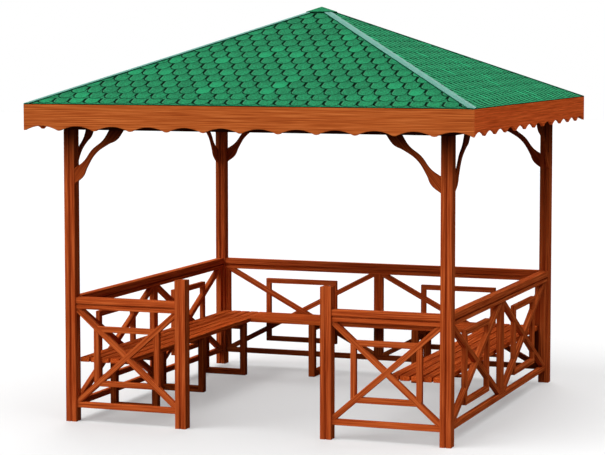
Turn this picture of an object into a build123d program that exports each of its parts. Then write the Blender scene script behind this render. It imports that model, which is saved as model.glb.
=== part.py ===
from build123d import *
from math import atan2, degrees, sqrt
import os

# Square open garden gazebo. Millimetres, +Z up, entrance on the -Y side.

# --- plan ---
POST_CENTRE = 1545.0  # half the distance between corner post centres
POST = 90.0  # side of a square post
NEWEL_CENTRE = 600.0  # half the distance between the two entrance posts
OVERHANG = 228.0  # from the outer face of the posts to the outside of the fascia

# --- heights ---
BEAM_BOTTOM = 2321.0  # top of the posts, underside of the top plate
BEAM_HIGH = 139.0
FASCIA_HIGH = 209.0  # from the scallop tips, level with the top plate's underside
ROOF_RISE = 763.0  # from the top of the fascia to the apex
NEWEL_TOP = 1154.0  # newel height up to its bevelled head
RAIL_TOP = 995.0
LOW_RAIL_BOTTOM = 111.0
SEAT_TOP = 508.0

# --- timber sections ---
ARRIS = 3.0  # small bevel on handled edges
GROOVE_WIDE = 10.0  # V groove down the middle of each post face
GROOVE_DEEP = 5.0
NEWEL_BEVEL = 12.0
CAP_WIDE = 70.0  # upper moulding of the top rail
CAP_HIGH = 50.0
NECK_WIDE = 50.0  # shadow groove under it
NECK_HIGH = 12.0
LOWER_WIDE = 60.0  # lower moulding of the top rail
LOWER_HIGH = 32.0
LOW_RAIL_WIDE = 44.0
LOW_RAIL_HIGH = 46.0
BATTEN_THICK = 12.0  # batten hung behind the front right lattice
BATTEN_HIGH = 40.0
BAR = 44.0  # lattice bar, as wide as it is thick
STILE = 42.0
WIDE_BAY_ENDS = 363.0  # from the stiles to the rectangle of a wide lattice bay
WIDE_BAY_EDGES = 80.0  # from the rails to that rectangle
FRONT_BAY_ENDS = 145.5  # the same two gaps in a narrow front bay
FRONT_BAY_EDGES = 133.5
BRACE_THICK = 20.0
BRACE_REACH = 426.0  # from post to tip, and from beam to foot
BRACE_END = 124.0  # width of each end
BRACE_SETBACK = 4.0  # behind the outer face of the post
FASCIA_THICK = 22.0
SCALLOPS = 12
SCALLOP_RISE = 36.0
SCALLOP_TIP = 30.0  # half the width of a rounded tip
DECK = 33.0  # roof covering, measured straight down
RAFTER_WIDE = 45.0
RAFTER_NOTCH = 17.0  # how far the rafters are let down over the top plate
RAFTER_TAIL = 110.0  # depth behind the fascia
JACK_OFFSET = 760.0  # from the middle of a side to each jack rafter
KING = 160.0  # side of the block under the apex
KING_DEEP = 190.0
STRIP_WIDE = 75.0  # hip strip, across the hip in plan
STRIP_THICK = 9.0
CROWN_HALF = 101.0  # half the width of the apex cap
CROWN_THICK = 8.0

# --- benches ---
BENCH_DEPTH = 423.0
SLATS = 5
SLAT_GAP = 12.0
SLAT_THICK = 38.0
SLAT_LAP = 6.0  # length of a side slat lying against the post face
LEG_WIDE = 51.0  # bar of a leg frame, in its own plane
LEG_THICK = 61.0
SIDE_FRAME_PITCH = 957.0
SIDE_FRAME_SHIFT = 21.0  # the leg frames of the left bench stand this far towards the back
BACK_FRAME_HALF = 484.0
BEARER_WIDE = 60.0  # flat bearer under the right seat, which has no leg frames
BEARER_THICK = 20.0
BEARER_INSET = 12.0  # behind the front edge of the seat

# --- sizes that follow from the ones above ---
POST_OUT = POST_CENTRE + POST / 2
POST_IN = POST_CENTRE - POST / 2
ROOF_HALF = POST_OUT + OVERHANG
FASCIA_IN = ROOF_HALF - FASCIA_THICK
BEAM_TOP = BEAM_BOTTOM + BEAM_HIGH
EAVE_TOP = BEAM_BOTTOM + FASCIA_HIGH
ROOF_APEX = EAVE_TOP + ROOF_RISE
ROOF_FALL = ROOF_RISE / ROOF_HALF
RAIL_BOTTOM = RAIL_TOP - CAP_HIGH - NECK_HIGH - LOWER_HIGH
LOW_RAIL_TOP = LOW_RAIL_BOTTOM + LOW_RAIL_HIGH
SEAT_UNDER = SEAT_TOP - SLAT_THICK
SEAT_FRONT = POST_IN - BENCH_DEPTH
LATTICE_IN = POST_CENTRE - BAR / 2
WIDE_BAY_BAR = POST_IN - STILE - WIDE_BAY_ENDS - BAR / 2  # outer upright of a wide bay's rectangle
SLAT_WIDE = (BENCH_DEPTH - (SLATS - 1) * SLAT_GAP) / SLATS
NEAR_NEWEL = NEWEL_CENTRE + POST / 2

UP = Vector(0, 0, 1)
SIDES = {"front": -90, "right": 0, "back": 90, "left": 180}
CORNERS = {
    "front_left": (-1, -1),
    "front_right": (1, -1),
    "back_left": (-1, 1),
    "back_right": (1, 1),
}


def save(shape, name):
    shape.label = name
    export_step(shape, "parts/" + name + ".step")


# --- places ---
def roof_top(out):
    return ROOF_APEX - ROOF_FALL * out


def roof_under(out):
    return roof_top(out) - DECK


RAFTER_DEEP = roof_under(POST_OUT) + RAFTER_NOTCH - BEAM_TOP


def outward(side):
    return Vector(1, 0, 0).rotate(Axis.Z, SIDES[side])


def along(side):
    return UP.cross(outward(side))


def wall_plane(side, out):
    """Upright plane of one side seen from outside: local x runs along the side, y is up."""
    return Plane(origin=outward(side) * out, x_dir=along(side), z_dir=outward(side))


def rail_plane(side, start):
    """Plane across a rail where it starts: local x points into the gazebo, y is up."""
    corner = outward(side) * POST_CENTRE + along(side) * start
    return Plane(origin=corner, x_dir=-outward(side), z_dir=along(side))


def radial_plane(direction, shift=0.0):
    """Upright plane that runs outward, moved sideways by the shift: local x is outward, y is up."""
    sideways = UP.cross(direction)
    return Plane(origin=sideways * shift, x_dir=direction, z_dir=-sideways)


# --- solids that trim others ---
def roof_block(half, lift):
    """Solid below the four slopes, its top the given height above the roof surface."""
    with BuildPart() as block:
        for plane, mode in ((Plane.XZ, Mode.ADD), (Plane.YZ, Mode.INTERSECT)):
            with BuildSketch(plane):
                Polygon(
                    (-half, 0),
                    (half, 0),
                    (half, roof_top(half) + lift),
                    (0, ROOF_APEX + lift),
                    (-half, roof_top(half) + lift),
                    align=None,
                )
            extrude(amount=half, both=True, mode=mode)
    return block.part


def mitre_blocks(sides, inner):
    """Prisms over the plan of the given sides, bounded by the two diagonals."""
    with BuildPart() as blocks:
        for side in sides:
            with BuildSketch(Plane(origin=(0, 0, 0), x_dir=outward(side), z_dir=UP)):
                Polygon(
                    (inner, -inner),
                    (ROOF_HALF, -ROOF_HALF),
                    (ROOF_HALF, ROOF_HALF),
                    (inner, inner),
                    align=None,
                )
            extrude(amount=2 * ROOF_APEX)
    return blocks.part


# --- posts ---
def post_outline(plane):
    with BuildSketch(plane) as outline:
        square = Rectangle(POST, POST)
        chamfer(square.vertices(), ARRIS)
        with PolarLocations(0, 4):
            Polygon(
                (POST / 2, -GROOVE_WIDE / 2),
                (POST / 2, GROOVE_WIDE / 2),
                (POST / 2 - GROOVE_DEEP, 0),
                align=None,
                mode=Mode.SUBTRACT,
            )
    return outline.sketch


def make_post(name, x_sign, y_sign):
    base = Plane(origin=(x_sign * POST_CENTRE, y_sign * POST_CENTRE, 0))
    with BuildPart() as post:
        extrude(post_outline(base), amount=BEAM_BOTTOM)
    save(post.part, "post_" + name)


def make_newel(name, x_sign):
    base = Plane(origin=(x_sign * NEWEL_CENTRE, -POST_CENTRE, 0))
    with BuildPart() as newel:
        with BuildSketch(base):
            Rectangle(POST, POST)
        extrude(amount=NEWEL_TOP)
        with BuildSketch(base.offset(NEWEL_TOP)):
            Rectangle(POST, POST)
        extrude(amount=NEWEL_BEVEL, taper=45)
        extrude(post_outline(base), amount=NEWEL_TOP + NEWEL_BEVEL, mode=Mode.INTERSECT)
    save(newel.part, "newel_" + name)


# --- balustrade ---
def top_rail_section(plane):
    with BuildSketch(plane) as profile:
        with BuildLine():
            Polyline(
                (0, RAIL_TOP),
                (CAP_WIDE / 2 - ARRIS, RAIL_TOP),
                (CAP_WIDE / 2, RAIL_TOP - ARRIS),
                (CAP_WIDE / 2, RAIL_TOP - CAP_HIGH),
                (NECK_WIDE / 2, RAIL_TOP - CAP_HIGH),
                (NECK_WIDE / 2, RAIL_TOP - CAP_HIGH - NECK_HIGH),
                (LOWER_WIDE / 2, RAIL_TOP - CAP_HIGH - NECK_HIGH),
                (LOWER_WIDE / 2, RAIL_BOTTOM),
                (0, RAIL_BOTTOM),
            )
            mirror(about=Plane.YZ)
        make_face()
    return profile.sketch


def low_rail_section(plane):
    with BuildSketch(plane) as profile:
        with Locations((0, LOW_RAIL_BOTTOM)):
            seat = (Align.CENTER, Align.MIN)
            bar = Rectangle(LOW_RAIL_WIDE, LOW_RAIL_HIGH, align=seat)
        chamfer(bar.vertices(), ARRIS)
    return profile.sketch


def make_top_rails(name, runs):
    with BuildPart() as rails:
        for side, start, end in runs:
            extrude(top_rail_section(rail_plane(side, start)), amount=end - start)
    return rails.part


def make_low_rails(name, runs):
    with BuildPart() as rails:
        for side, start, end in runs:
            extrude(low_rail_section(rail_plane(side, start)), amount=end - start)
    save(rails.part, name)


def hung_batten():
    """Batten under the front right top rail, flat against the back of the lattice."""
    with BuildPart() as batten:
        with BuildSketch(rail_plane("front", NEAR_NEWEL)):
            with Locations((BAR / 2, RAIL_BOTTOM)):
                Rectangle(BATTEN_THICK, BATTEN_HIGH, align=(Align.MIN, Align.MAX))
        extrude(amount=POST_IN - NEAR_NEWEL)
    return batten.part


def make_rails():
    front = [("front", -POST_IN, -NEAR_NEWEL), ("front", NEAR_NEWEL, POST_IN)]
    sides = [("left", -POST_IN, POST_IN), ("right", -POST_IN, POST_IN)]
    back = [("back", -POST_IN, POST_IN)]
    save(make_top_rails("front", front) + hung_batten(), "top_rails_front")
    save(make_top_rails("sides", sides), "top_rails_left_right")
    save(make_top_rails("back", back), "top_rail_back")
    make_low_rails("bottom_rails_front", front)
    make_low_rails("bottom_rails_left_right", sides)
    make_low_rails("bottom_rail_back", back)


def make_lattice(name, side, start, end, gaps, stile):
    """Crossed bars and a rectangle in one plane, fused where they cross, with end stiles."""
    middle = (start + end) / 2
    clear = end - start - 2 * stile
    height = RAIL_BOTTOM - LOW_RAIL_TOP
    level = (RAIL_BOTTOM + LOW_RAIL_TOP) / 2
    turn = degrees(atan2(height, clear))
    face = wall_plane(side, POST_CENTRE)
    with BuildPart() as lattice:
        with BuildSketch(face):
            for angle in (turn, -turn):
                with Locations(Location((middle, level, 0), (0, 0, angle))):
                    Rectangle(2 * clear, BAR)
            with Locations((middle, level)):
                Rectangle(clear, height, mode=Mode.INTERSECT)
        extrude(amount=BAR / 2, both=True)
        with BuildSketch(face):
            with Locations((middle, level)):
                ring = Rectangle(clear - 2 * gaps[0], height - 2 * gaps[1])
                offset(ring, -BAR, kind=Kind.INTERSECTION, mode=Mode.SUBTRACT)
        extrude(amount=BAR / 2, both=True)
        if stile:
            with BuildSketch(face):
                with Locations((start + stile / 2, level), (end - stile / 2, level)):
                    Rectangle(stile, height)
            extrude(amount=BAR / 2, both=True)
    save(lattice.part, "lattice_" + name)


def make_lattices():
    narrow = (FRONT_BAY_ENDS, FRONT_BAY_EDGES)
    wide = (WIDE_BAY_ENDS, WIDE_BAY_EDGES)
    make_lattice("front_left", "front", -POST_IN, -NEAR_NEWEL, narrow, 0)
    make_lattice("front_right", "front", NEAR_NEWEL, POST_IN, narrow, 0)
    bays = {"right": ("front", "back"), "back": ("right", "left"), "left": ("back", "front")}
    for side, (first, second) in bays.items():
        make_lattice(side + "_" + first, side, -POST_IN, 0, wide, STILE)
        make_lattice(side + "_" + second, side, 0, POST_IN, wide, STILE)


# --- braces and beams ---
def brace_outline(plane):
    """Ogee brace: local x leaves the post and y rises to the beam."""
    reach = BRACE_REACH
    inner = reach - BRACE_END
    lower = [(0.178, 0.141), (0.263, 0.315), (0.434, 0.566), (0.685, 0.737), (0.859, 0.822)]
    upper = [(0.255, 0.172), (0.510, 0.490), (0.828, 0.745)]
    with BuildSketch(plane) as outline:
        with BuildLine():
            Spline((0, 0), *[(x * reach, y * reach) for x, y in lower], (reach, reach))
            Line((reach, reach), (inner, reach))
            Spline((0, BRACE_END), *[(x * inner, BRACE_END + y * inner) for x, y in upper], (inner, reach))
            Line((0, BRACE_END), (0, 0))
        make_face()
    return outline.sketch


def make_braces(name, x_sign, y_sign):
    """The two braces of one corner post, one along each side that meets there."""
    outer = POST_OUT - BRACE_SETBACK
    foot = BEAM_BOTTOM - BRACE_REACH
    across = Plane(
        origin=(x_sign * POST_IN, y_sign * outer, foot), x_dir=(-x_sign, 0, 0), z_dir=(0, x_sign, 0)
    )
    deep = Plane(
        origin=(x_sign * outer, y_sign * POST_IN, foot), x_dir=(0, -y_sign, 0), z_dir=(-y_sign, 0, 0)
    )
    with BuildPart() as braces:
        extrude(brace_outline(across), amount=BRACE_THICK, dir=(0, -y_sign, 0))
        extrude(brace_outline(deep), amount=BRACE_THICK, dir=(-x_sign, 0, 0))
    save(braces.part, "braces_" + name)


def make_top_beams():
    """Top plate: the front and back beams run through, the side beams fit between them."""
    seat = (Align.CENTER, Align.CENTER, Align.MIN)
    with BuildPart() as through:
        with Locations((0, -POST_CENTRE, BEAM_BOTTOM), (0, POST_CENTRE, BEAM_BOTTOM)):
            Box(2 * POST_OUT, POST, BEAM_HIGH, align=seat)
    save(through.part, "top_beams_front_back")
    with BuildPart() as between:
        with Locations((-POST_CENTRE, 0, BEAM_BOTTOM), (POST_CENTRE, 0, BEAM_BOTTOM)):
            Box(POST, 2 * POST_IN, BEAM_HIGH, align=seat)
    save(between.part, "top_beams_left_right")


# --- roof ---
def scalloped_face(plane):
    """Fascia face: straight on top, wide arches and narrow rounded tips below."""
    pitch = 2 * ROOF_HALF / SCALLOPS
    top = roof_top(FASCIA_IN)
    low = BEAM_BOTTOM
    bend = BEAM_BOTTOM + SCALLOP_RISE * 0.07
    shoulder = BEAM_BOTTOM + SCALLOP_RISE * 0.28
    crest = BEAM_BOTTOM + SCALLOP_RISE
    with BuildSketch(plane) as face:
        with BuildLine():
            for i in range(SCALLOPS):
                left = -ROOF_HALF + i * pitch
                right = -ROOF_HALF + (i + 1) * pitch
                arch_left = (left + SCALLOP_TIP, shoulder)
                arch_right = (right - SCALLOP_TIP, shoulder)
                ThreePointArc((left, low), (left + SCALLOP_TIP / 2, bend), arch_left)
                ThreePointArc(arch_left, (left + pitch / 2, crest), arch_right)
                ThreePointArc(arch_right, (right - SCALLOP_TIP / 2, bend), (right, low))
            Polyline((ROOF_HALF, low), (ROOF_HALF, top), (-ROOF_HALF, top), (-ROOF_HALF, low))
        make_face()
    return face.sketch


def make_fascias(name, sides):
    cover = roof_block(ROOF_HALF, 0)
    mitres = mitre_blocks(sides, ROOF_HALF / 2)
    with BuildPart() as fascias:
        for side in sides:
            extrude(scalloped_face(wall_plane(side, ROOF_HALF)), amount=-FASCIA_THICK)
        add(cover, mode=Mode.INTERSECT)
        add(mitres, mode=Mode.INTERSECT)
    save(fascias.part, "fascias_" + name)


def make_slope(side):
    mitre = mitre_blocks([side], 0)
    with BuildPart() as slope:
        with BuildSketch(radial_plane(outward(side))):
            Polygon(
                (0, ROOF_APEX),
                (0, ROOF_APEX - DECK),
                (FASCIA_IN, roof_under(FASCIA_IN)),
                (FASCIA_IN, roof_top(FASCIA_IN)),
                align=None,
            )
        extrude(amount=ROOF_HALF, both=True)
        add(mitre, mode=Mode.INTERSECT)
    save(slope.part, "roof_slope_" + side)


def rafter_outline(plane, inner, stretch=1.0):
    """Rafter from the given distance out to the fascia, notched over the top plate."""
    seat_start = (ROOF_APEX - DECK - RAFTER_DEEP - BEAM_TOP) / ROOF_FALL
    corners = [
        (inner, roof_under(inner)),
        (FASCIA_IN, roof_under(FASCIA_IN)),
        (FASCIA_IN, roof_under(FASCIA_IN) - RAFTER_TAIL),
        (POST_OUT, roof_under(POST_OUT) - RAFTER_DEEP),
        (POST_OUT, BEAM_TOP),
        (seat_start, BEAM_TOP),
        (inner, roof_under(inner) - RAFTER_DEEP),
    ]
    with BuildSketch(plane) as outline:
        Polygon(*[(out * stretch, level) for out, level in corners], align=None)
    return outline.sketch


def make_common_rafters():
    with BuildPart() as rafters:
        for side in SIDES:
            outline = rafter_outline(radial_plane(outward(side)), KING / 2)
            extrude(outline, amount=RAFTER_WIDE / 2, both=True)
    save(rafters.part, "common_rafters")


def make_jack_rafters():
    with BuildPart() as rafters:
        for side in SIDES:
            for shift in (-JACK_OFFSET, JACK_OFFSET):
                outline = rafter_outline(radial_plane(outward(side), shift), JACK_OFFSET)
                extrude(outline, amount=RAFTER_WIDE / 2, both=True)
        for x_sign, y_sign in CORNERS.values():
            hip = Vector(x_sign, y_sign, 0).normalized()
            with BuildSketch(Plane(origin=(0, 0, 0), x_dir=hip, z_dir=UP)):
                Rectangle(2 * ROOF_HALF, RAFTER_WIDE, align=(Align.MIN, Align.CENTER))
            extrude(amount=ROOF_APEX, mode=Mode.SUBTRACT)
    save(rafters.part, "jack_rafters")


def make_hip_rafters():
    cover = roof_block(FASCIA_IN, -DECK)
    with BuildPart() as rafters:
        for x_sign, y_sign in CORNERS.values():
            plane = radial_plane(Vector(x_sign, y_sign, 0).normalized())
            outline = rafter_outline(plane, (KING - RAFTER_WIDE) / 2, sqrt(2))
            extrude(outline, amount=RAFTER_WIDE / 2, both=True)
        add(cover, mode=Mode.INTERSECT)
        with BuildSketch():
            Rectangle(KING, KING)
        extrude(amount=ROOF_APEX, mode=Mode.SUBTRACT)
    save(rafters.part, "hip_rafters")


def make_king_block():
    cover = roof_block(FASCIA_IN, -DECK)
    with BuildPart() as block:
        with BuildSketch(Plane.XY.offset(roof_under(KING / 2) - KING_DEEP)):
            Rectangle(KING, KING)
        extrude(amount=2 * KING_DEEP)
        add(cover, mode=Mode.INTERSECT)
    save(block.part, "king_block")


def make_hip_strips():
    cover = roof_block(ROOF_HALF, STRIP_THICK)
    under = roof_block(2 * ROOF_HALF, 0)
    with BuildPart() as strips:
        add(cover)
        add(under, mode=Mode.SUBTRACT)
        with BuildSketch():
            for angle in (45, -45):
                with Locations(Location((0, 0, 0), (0, 0, angle))):
                    Rectangle(3 * ROOF_HALF, STRIP_WIDE)
            Rectangle(2 * CROWN_HALF, 2 * CROWN_HALF, mode=Mode.SUBTRACT)
        extrude(amount=2 * ROOF_APEX, mode=Mode.INTERSECT)
    save(strips.part, "hip_strips")


def make_crown():
    cover = roof_block(CROWN_HALF, CROWN_THICK)
    under = roof_block(2 * ROOF_HALF, 0)
    with BuildPart() as crown:
        add(cover)
        add(under, mode=Mode.SUBTRACT)
    save(crown.part, "apex_cap")


# --- benches ---
def make_seat(side, half_length):
    with BuildPart() as seat:
        with BuildSketch(radial_plane(outward(side))):
            for i in range(SLATS):
                place = SEAT_FRONT + SLAT_WIDE / 2 + i * (SLAT_WIDE + SLAT_GAP)
                with Locations((place, SEAT_TOP - SLAT_THICK / 2)):
                    Rectangle(SLAT_WIDE, SLAT_THICK)
        extrude(amount=half_length, both=True)
        lengthwise = seat.edges().filter_by(Axis((0, 0, 0), along(side)))
        chamfer(lengthwise.group_by(Axis.Z)[-1], ARRIS)
    save(seat.part, "seat_" + side)


def make_leg_frames(side, places):
    """Closed rectangular leg frames, each across the bench at its place along the side."""
    with BuildPart() as frames:
        for place in places:
            with BuildSketch(radial_plane(outward(side), place)):
                with Locations((SEAT_FRONT + BENCH_DEPTH / 2, SEAT_UNDER / 2)):
                    Rectangle(BENCH_DEPTH, SEAT_UNDER)
                    Rectangle(BENCH_DEPTH - 2 * LEG_WIDE, SEAT_UNDER - 2 * LEG_WIDE, mode=Mode.SUBTRACT)
            extrude(amount=LEG_THICK / 2, both=True)
    save(frames.part, "leg_frames_" + side)


def make_bearers(side, places):
    """Flat bearers under the slats, each butting on the lattice at its place along the side."""
    start = SEAT_FRONT + BEARER_INSET
    with BuildPart() as bearers:
        for place in places:
            with BuildSketch(radial_plane(outward(side), place)):
                with Locations(((start + LATTICE_IN) / 2, SEAT_UNDER - BEARER_THICK / 2)):
                    Rectangle(LATTICE_IN - start, BEARER_THICK)
            extrude(amount=BEARER_WIDE / 2, both=True)
    save(bearers.part, "seat_bearers_" + side)


def make_benches():
    for side in ("right", "left"):
        make_seat(side, POST_IN + SLAT_LAP)
    make_bearers("right", (-WIDE_BAY_BAR, 0, WIDE_BAY_BAR))
    shift = -SIDE_FRAME_SHIFT
    make_leg_frames("left", (shift - SIDE_FRAME_PITCH, shift, shift + SIDE_FRAME_PITCH))
    make_seat("back", SEAT_FRONT)
    make_leg_frames("back", (-BACK_FRAME_HALF, BACK_FRAME_HALF))


def main():
    os.makedirs("parts", exist_ok=True)
    for name, (x_sign, y_sign) in CORNERS.items():
        make_post(name, x_sign, y_sign)
        make_braces(name, x_sign, y_sign)
    make_newel("left", -1)
    make_newel("right", 1)
    make_rails()
    make_lattices()
    make_top_beams()
    make_fascias("front_back", ("front", "back"))
    make_fascias("left_right", ("left", "right"))
    for side in SIDES:
        make_slope(side)
    make_common_rafters()
    make_jack_rafters()
    make_hip_rafters()
    make_king_block()
    make_hip_strips()
    make_crown()
    make_benches()


main()
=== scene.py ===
"""Square garden gazebo: the visual model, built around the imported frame.

Lengths are in metres. The entrance faces -Y and +Z is up. Most parts are worked out for the
front side and then turned about the middle of the gazebo onto the other sides.
"""
import logging
import math
import random
from collections.abc import Iterable
from dataclasses import dataclass, field
from enum import Enum
from typing import Any

import bmesh
import bpy
from mathutils import Matrix, Vector


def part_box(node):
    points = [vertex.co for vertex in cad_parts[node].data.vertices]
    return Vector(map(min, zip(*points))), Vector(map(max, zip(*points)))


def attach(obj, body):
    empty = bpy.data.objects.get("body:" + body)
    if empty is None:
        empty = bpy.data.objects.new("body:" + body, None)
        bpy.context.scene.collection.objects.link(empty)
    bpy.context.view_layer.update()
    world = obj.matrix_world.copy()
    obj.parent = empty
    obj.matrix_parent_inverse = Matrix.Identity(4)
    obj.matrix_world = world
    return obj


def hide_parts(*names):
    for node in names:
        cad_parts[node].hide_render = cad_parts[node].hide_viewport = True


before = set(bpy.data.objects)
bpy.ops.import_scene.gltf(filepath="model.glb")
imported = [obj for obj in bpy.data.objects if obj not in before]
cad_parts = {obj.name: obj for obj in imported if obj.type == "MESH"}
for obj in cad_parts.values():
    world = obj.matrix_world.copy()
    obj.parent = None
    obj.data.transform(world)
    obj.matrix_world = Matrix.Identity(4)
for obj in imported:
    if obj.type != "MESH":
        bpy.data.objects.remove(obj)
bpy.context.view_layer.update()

LOG = logging.getLogger("gazebo")
BODY = "root"
SEED = 0  # changes every random draw
GRAIN = "grain"  # attribute: a place in a timber, its x along the grain
LAY = "lay"  # attribute: a place on a shingle tab, across it and up it, and the tab's tint
ARC_DEEP = 0.048  # height of the rounded foot of a shingle tab
HAIR = 1e-5  # points closer than this are one point
LONG = 0.1  # an edge longer than this along x runs the length of its timber
SHARP = 0.3  # angle between faces, in radians, from which their edge is sharp
Triple = tuple[float, float, float]
Colour = Triple


class Side(Enum):
    """The four sides, each with the quarter turns that carry the front onto it."""

    FRONT = 0
    RIGHT = 1
    BACK = 2
    LEFT = 3

    @property
    def key(self) -> str:
        """Name of the side in the names of nodes and pieces."""
        return self.name.lower()

    @property
    def turn(self) -> Matrix:
        """Turn about the upright axis that carries the front onto this side."""
        return Matrix.Rotation(self.value * math.pi / 2, 4, "Z")


QUARTER = Matrix.Rotation(math.pi / 2, 4, "Z")  # a quarter turn on the floor
UPRIGHT = Matrix.Rotation(math.pi / 2, 4, "X")  # a flat board's width turned up into a wall
STANDING = Matrix.Rotation(-math.pi / 2, 4, "Y")  # a board's length turned up into a post


def move(x: float = 0.0, y: float = 0.0, z: float = 0.0) -> Matrix:
    """A shift as a matrix."""
    return Matrix.Translation((x, y, z))


# --- shader sheets ---------------------------------------------------------------------------


class Level:
    """A value socket that takes part in Python arithmetic: each operator adds its Math node."""

    def __init__(self, sheet: "Sheet", socket: bpy.types.NodeSocket) -> None:
        """Wraps a socket of the sheet's node tree."""
        self.sheet = sheet
        self.socket = socket

    def maths(self, operation: str, *values: "Level | float", clamp: bool = False) -> "Level":
        """Adds a Math node.

        Args:
            operation: the node's operation.
            values: its inputs, in order.
            clamp: whether the result is held between 0 and 1.

        Returns:
            The node's result.
        """
        settings = {"operation": operation, "use_clamp": clamp}
        made = self.sheet.node("ShaderNodeMath", settings, dict(enumerate(values)))
        return Level(self.sheet, made.outputs[0])

    def __add__(self, other: "Level | float") -> "Level":
        """Sum."""
        return self.maths("ADD", self, other)

    __radd__ = __add__

    def __sub__(self, other: "Level | float") -> "Level":
        """Difference."""
        return self.maths("SUBTRACT", self, other)

    def __rsub__(self, other: float) -> "Level":
        """Difference from a number."""
        return self.maths("SUBTRACT", other, self)

    def __mul__(self, other: "Level | float") -> "Level":
        """Product."""
        return self.maths("MULTIPLY", self, other)

    __rmul__ = __mul__

    def __truediv__(self, other: "Level | float") -> "Level":
        """Quotient."""
        return self.maths("DIVIDE", self, other)

    def __rtruediv__(self, other: float) -> "Level":
        """A number over this value."""
        return self.maths("DIVIDE", other, self)

    def __pow__(self, other: "Level | float") -> "Level":
        """Power."""
        return self.maths("POWER", self, other)

    def __rpow__(self, other: float) -> "Level":
        """A number to the power of this value."""
        return self.maths("POWER", other, self)

    def __abs__(self) -> "Level":
        """The value without its sign."""
        return self.maths("ABSOLUTE", self)

    def at_least(self, other: "Level | float") -> "Level":
        """The larger of the two."""
        return self.maths("MAXIMUM", self, other)

    def root(self) -> "Level":
        """Square root, zero below zero."""
        return self.maths("SQRT", self.at_least(0.0))

    def sine(self) -> "Level":
        """Sine of the value in radians."""
        return self.maths("SINE", self)

    def held(self) -> "Level":
        """The value held between 0 and 1."""
        return self.maths("ADD", self, 0.0, clamp=True)

    def swing(self, amount: float, middle: float = 0.5) -> "Level":
        """How far the value is from its middle, times an amount."""
        return (self - middle) * amount

    def step(self, low: float, high: float) -> "Level":
        """Smooth step.

        Args:
            low: the value at which it leaves 0.
            high: the value at which it reaches 1.

        Returns:
            The step.
        """
        settings = {"interpolation_type": "SMOOTHSTEP"}
        inputs = {"Value": self, "From Min": low, "From Max": high}
        made = self.sheet.node("ShaderNodeMapRange", settings, inputs)
        return Level(self.sheet, made.outputs[0])


class Sheet:
    """A node tree that a finish is written on."""

    def __init__(self, tree: bpy.types.NodeTree) -> None:
        """Clears the tree."""
        self.tree = tree
        tree.nodes.clear()

    def node(
        self,
        kind: str,
        settings: dict[str, Any] | None = None,
        inputs: dict[Any, Any] | None = None,
    ) -> bpy.types.Node:
        """Adds a node.

        Args:
            kind: the node's type.
            settings: its properties, set first; "stops" are a ramp's places and colours.
            inputs: values or links, by the name or number of the socket.

        Returns:
            The new node.
        """
        made = self.tree.nodes.new(kind)
        for name, value in (settings or {}).items():
            if name == "stops":
                self._set_stops(made.color_ramp, value)
            else:
                setattr(made, name, value)
        for name, value in (inputs or {}).items():
            self._feed(made.inputs[name], value)
        return made

    def _set_stops(self, ramp: bpy.types.ColorRamp, stops: list[tuple[float, Colour]]) -> None:
        """Gives a ramp its stops.

        Args:
            ramp: the ramp of a new node.
            stops: places and colours, in order.
        """
        while len(ramp.elements) < len(stops):
            ramp.elements.new(1.0)
        for element, (place, colour) in zip(ramp.elements, stops):
            element.position = place
            element.color = (*colour, 1.0)

    def _feed(self, socket: bpy.types.NodeSocket, value: Any) -> None:
        """Links a socket, or sets it.

        Args:
            socket: an input of a node.
            value: a level or socket to link, or a number, vector or colour to set.
        """
        if isinstance(value, Level):
            value = value.socket
        if isinstance(value, bpy.types.NodeSocket):
            self.tree.links.new(value, socket)
        elif socket.type == "RGBA" and len(value) == 3:
            socket.default_value = (*value, 1.0)
        else:
            socket.default_value = value

    def blend(self, factor: Any, first: Any, second: Any) -> Any:
        """Mixes two colours.

        Args:
            factor: share of the second colour.
            first: a colour or its socket.
            second: the other colour or its socket.

        Returns:
            The socket of the mixed colour.
        """
        settings = {"data_type": "RGBA", "clamp_factor": True}
        return self.node("ShaderNodeMix", settings, {0: factor, 6: first, 7: second}).outputs[2]

    def ramp(self, factor: Level, stops: list[tuple[float, Colour]]) -> Any:
        """Colour ramp over a value."""
        return self.node("ShaderNodeValToRGB", {"stops": stops}, {0: factor}).outputs[0]

    def parts(self, vector: Any) -> tuple[Level, Level, Level]:
        """Splits a vector into its three values."""
        split = self.node("ShaderNodeSeparateXYZ", None, {0: vector})
        return tuple(Level(self, socket) for socket in split.outputs)

    def stretched(self, vector: Any, scale: Triple) -> Any:
        """Scales a vector, value by value."""
        inputs = {0: vector, 1: scale}
        return self.node("ShaderNodeVectorMath", {"operation": "MULTIPLY"}, inputs).outputs[0]

    def noise(self, vector: Any, scale: float = 1.0, detail: float = 2.0,
              rough: float = 0.5) -> Level:
        """Soft noise between 0 and 1."""
        inputs = {"Vector": vector, "Scale": scale, "Detail": detail, "Roughness": rough}
        return Level(self, self.node("ShaderNodeTexNoise", None, inputs).outputs[0])

    def bump(self, height: Level, distance: float, strength: float) -> Any:
        """Normal from a height."""
        inputs = {"Strength": strength, "Distance": distance, "Height": height}
        return self.node("ShaderNodeBump", None, inputs).outputs[0]

    def place(self) -> Any:
        """Object coordinates."""
        return self.node("ShaderNodeTexCoord").outputs["Object"]

    def attribute(self, name: str) -> Any:
        """Vector of a mesh attribute."""
        return self.node("ShaderNodeAttribute", {"attribute_name": name}).outputs["Vector"]

    def surface(self, inputs: dict[str, Any]) -> None:
        """Ends the sheet in a Principled surface with the given inputs."""
        shader = self.node("ShaderNodeBsdfPrincipled", None, inputs)
        self.node("ShaderNodeOutputMaterial", None, {"Surface": shader.outputs[0]})


def new_sheet(name: str) -> tuple[bpy.types.Material, Sheet]:
    """Starts a finish.

    Args:
        name: name of its material.

    Returns:
        The material and the sheet of its nodes.
    """
    material = bpy.data.materials.new(name)
    material.use_nodes = True
    return material, Sheet(material.node_tree)


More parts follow.
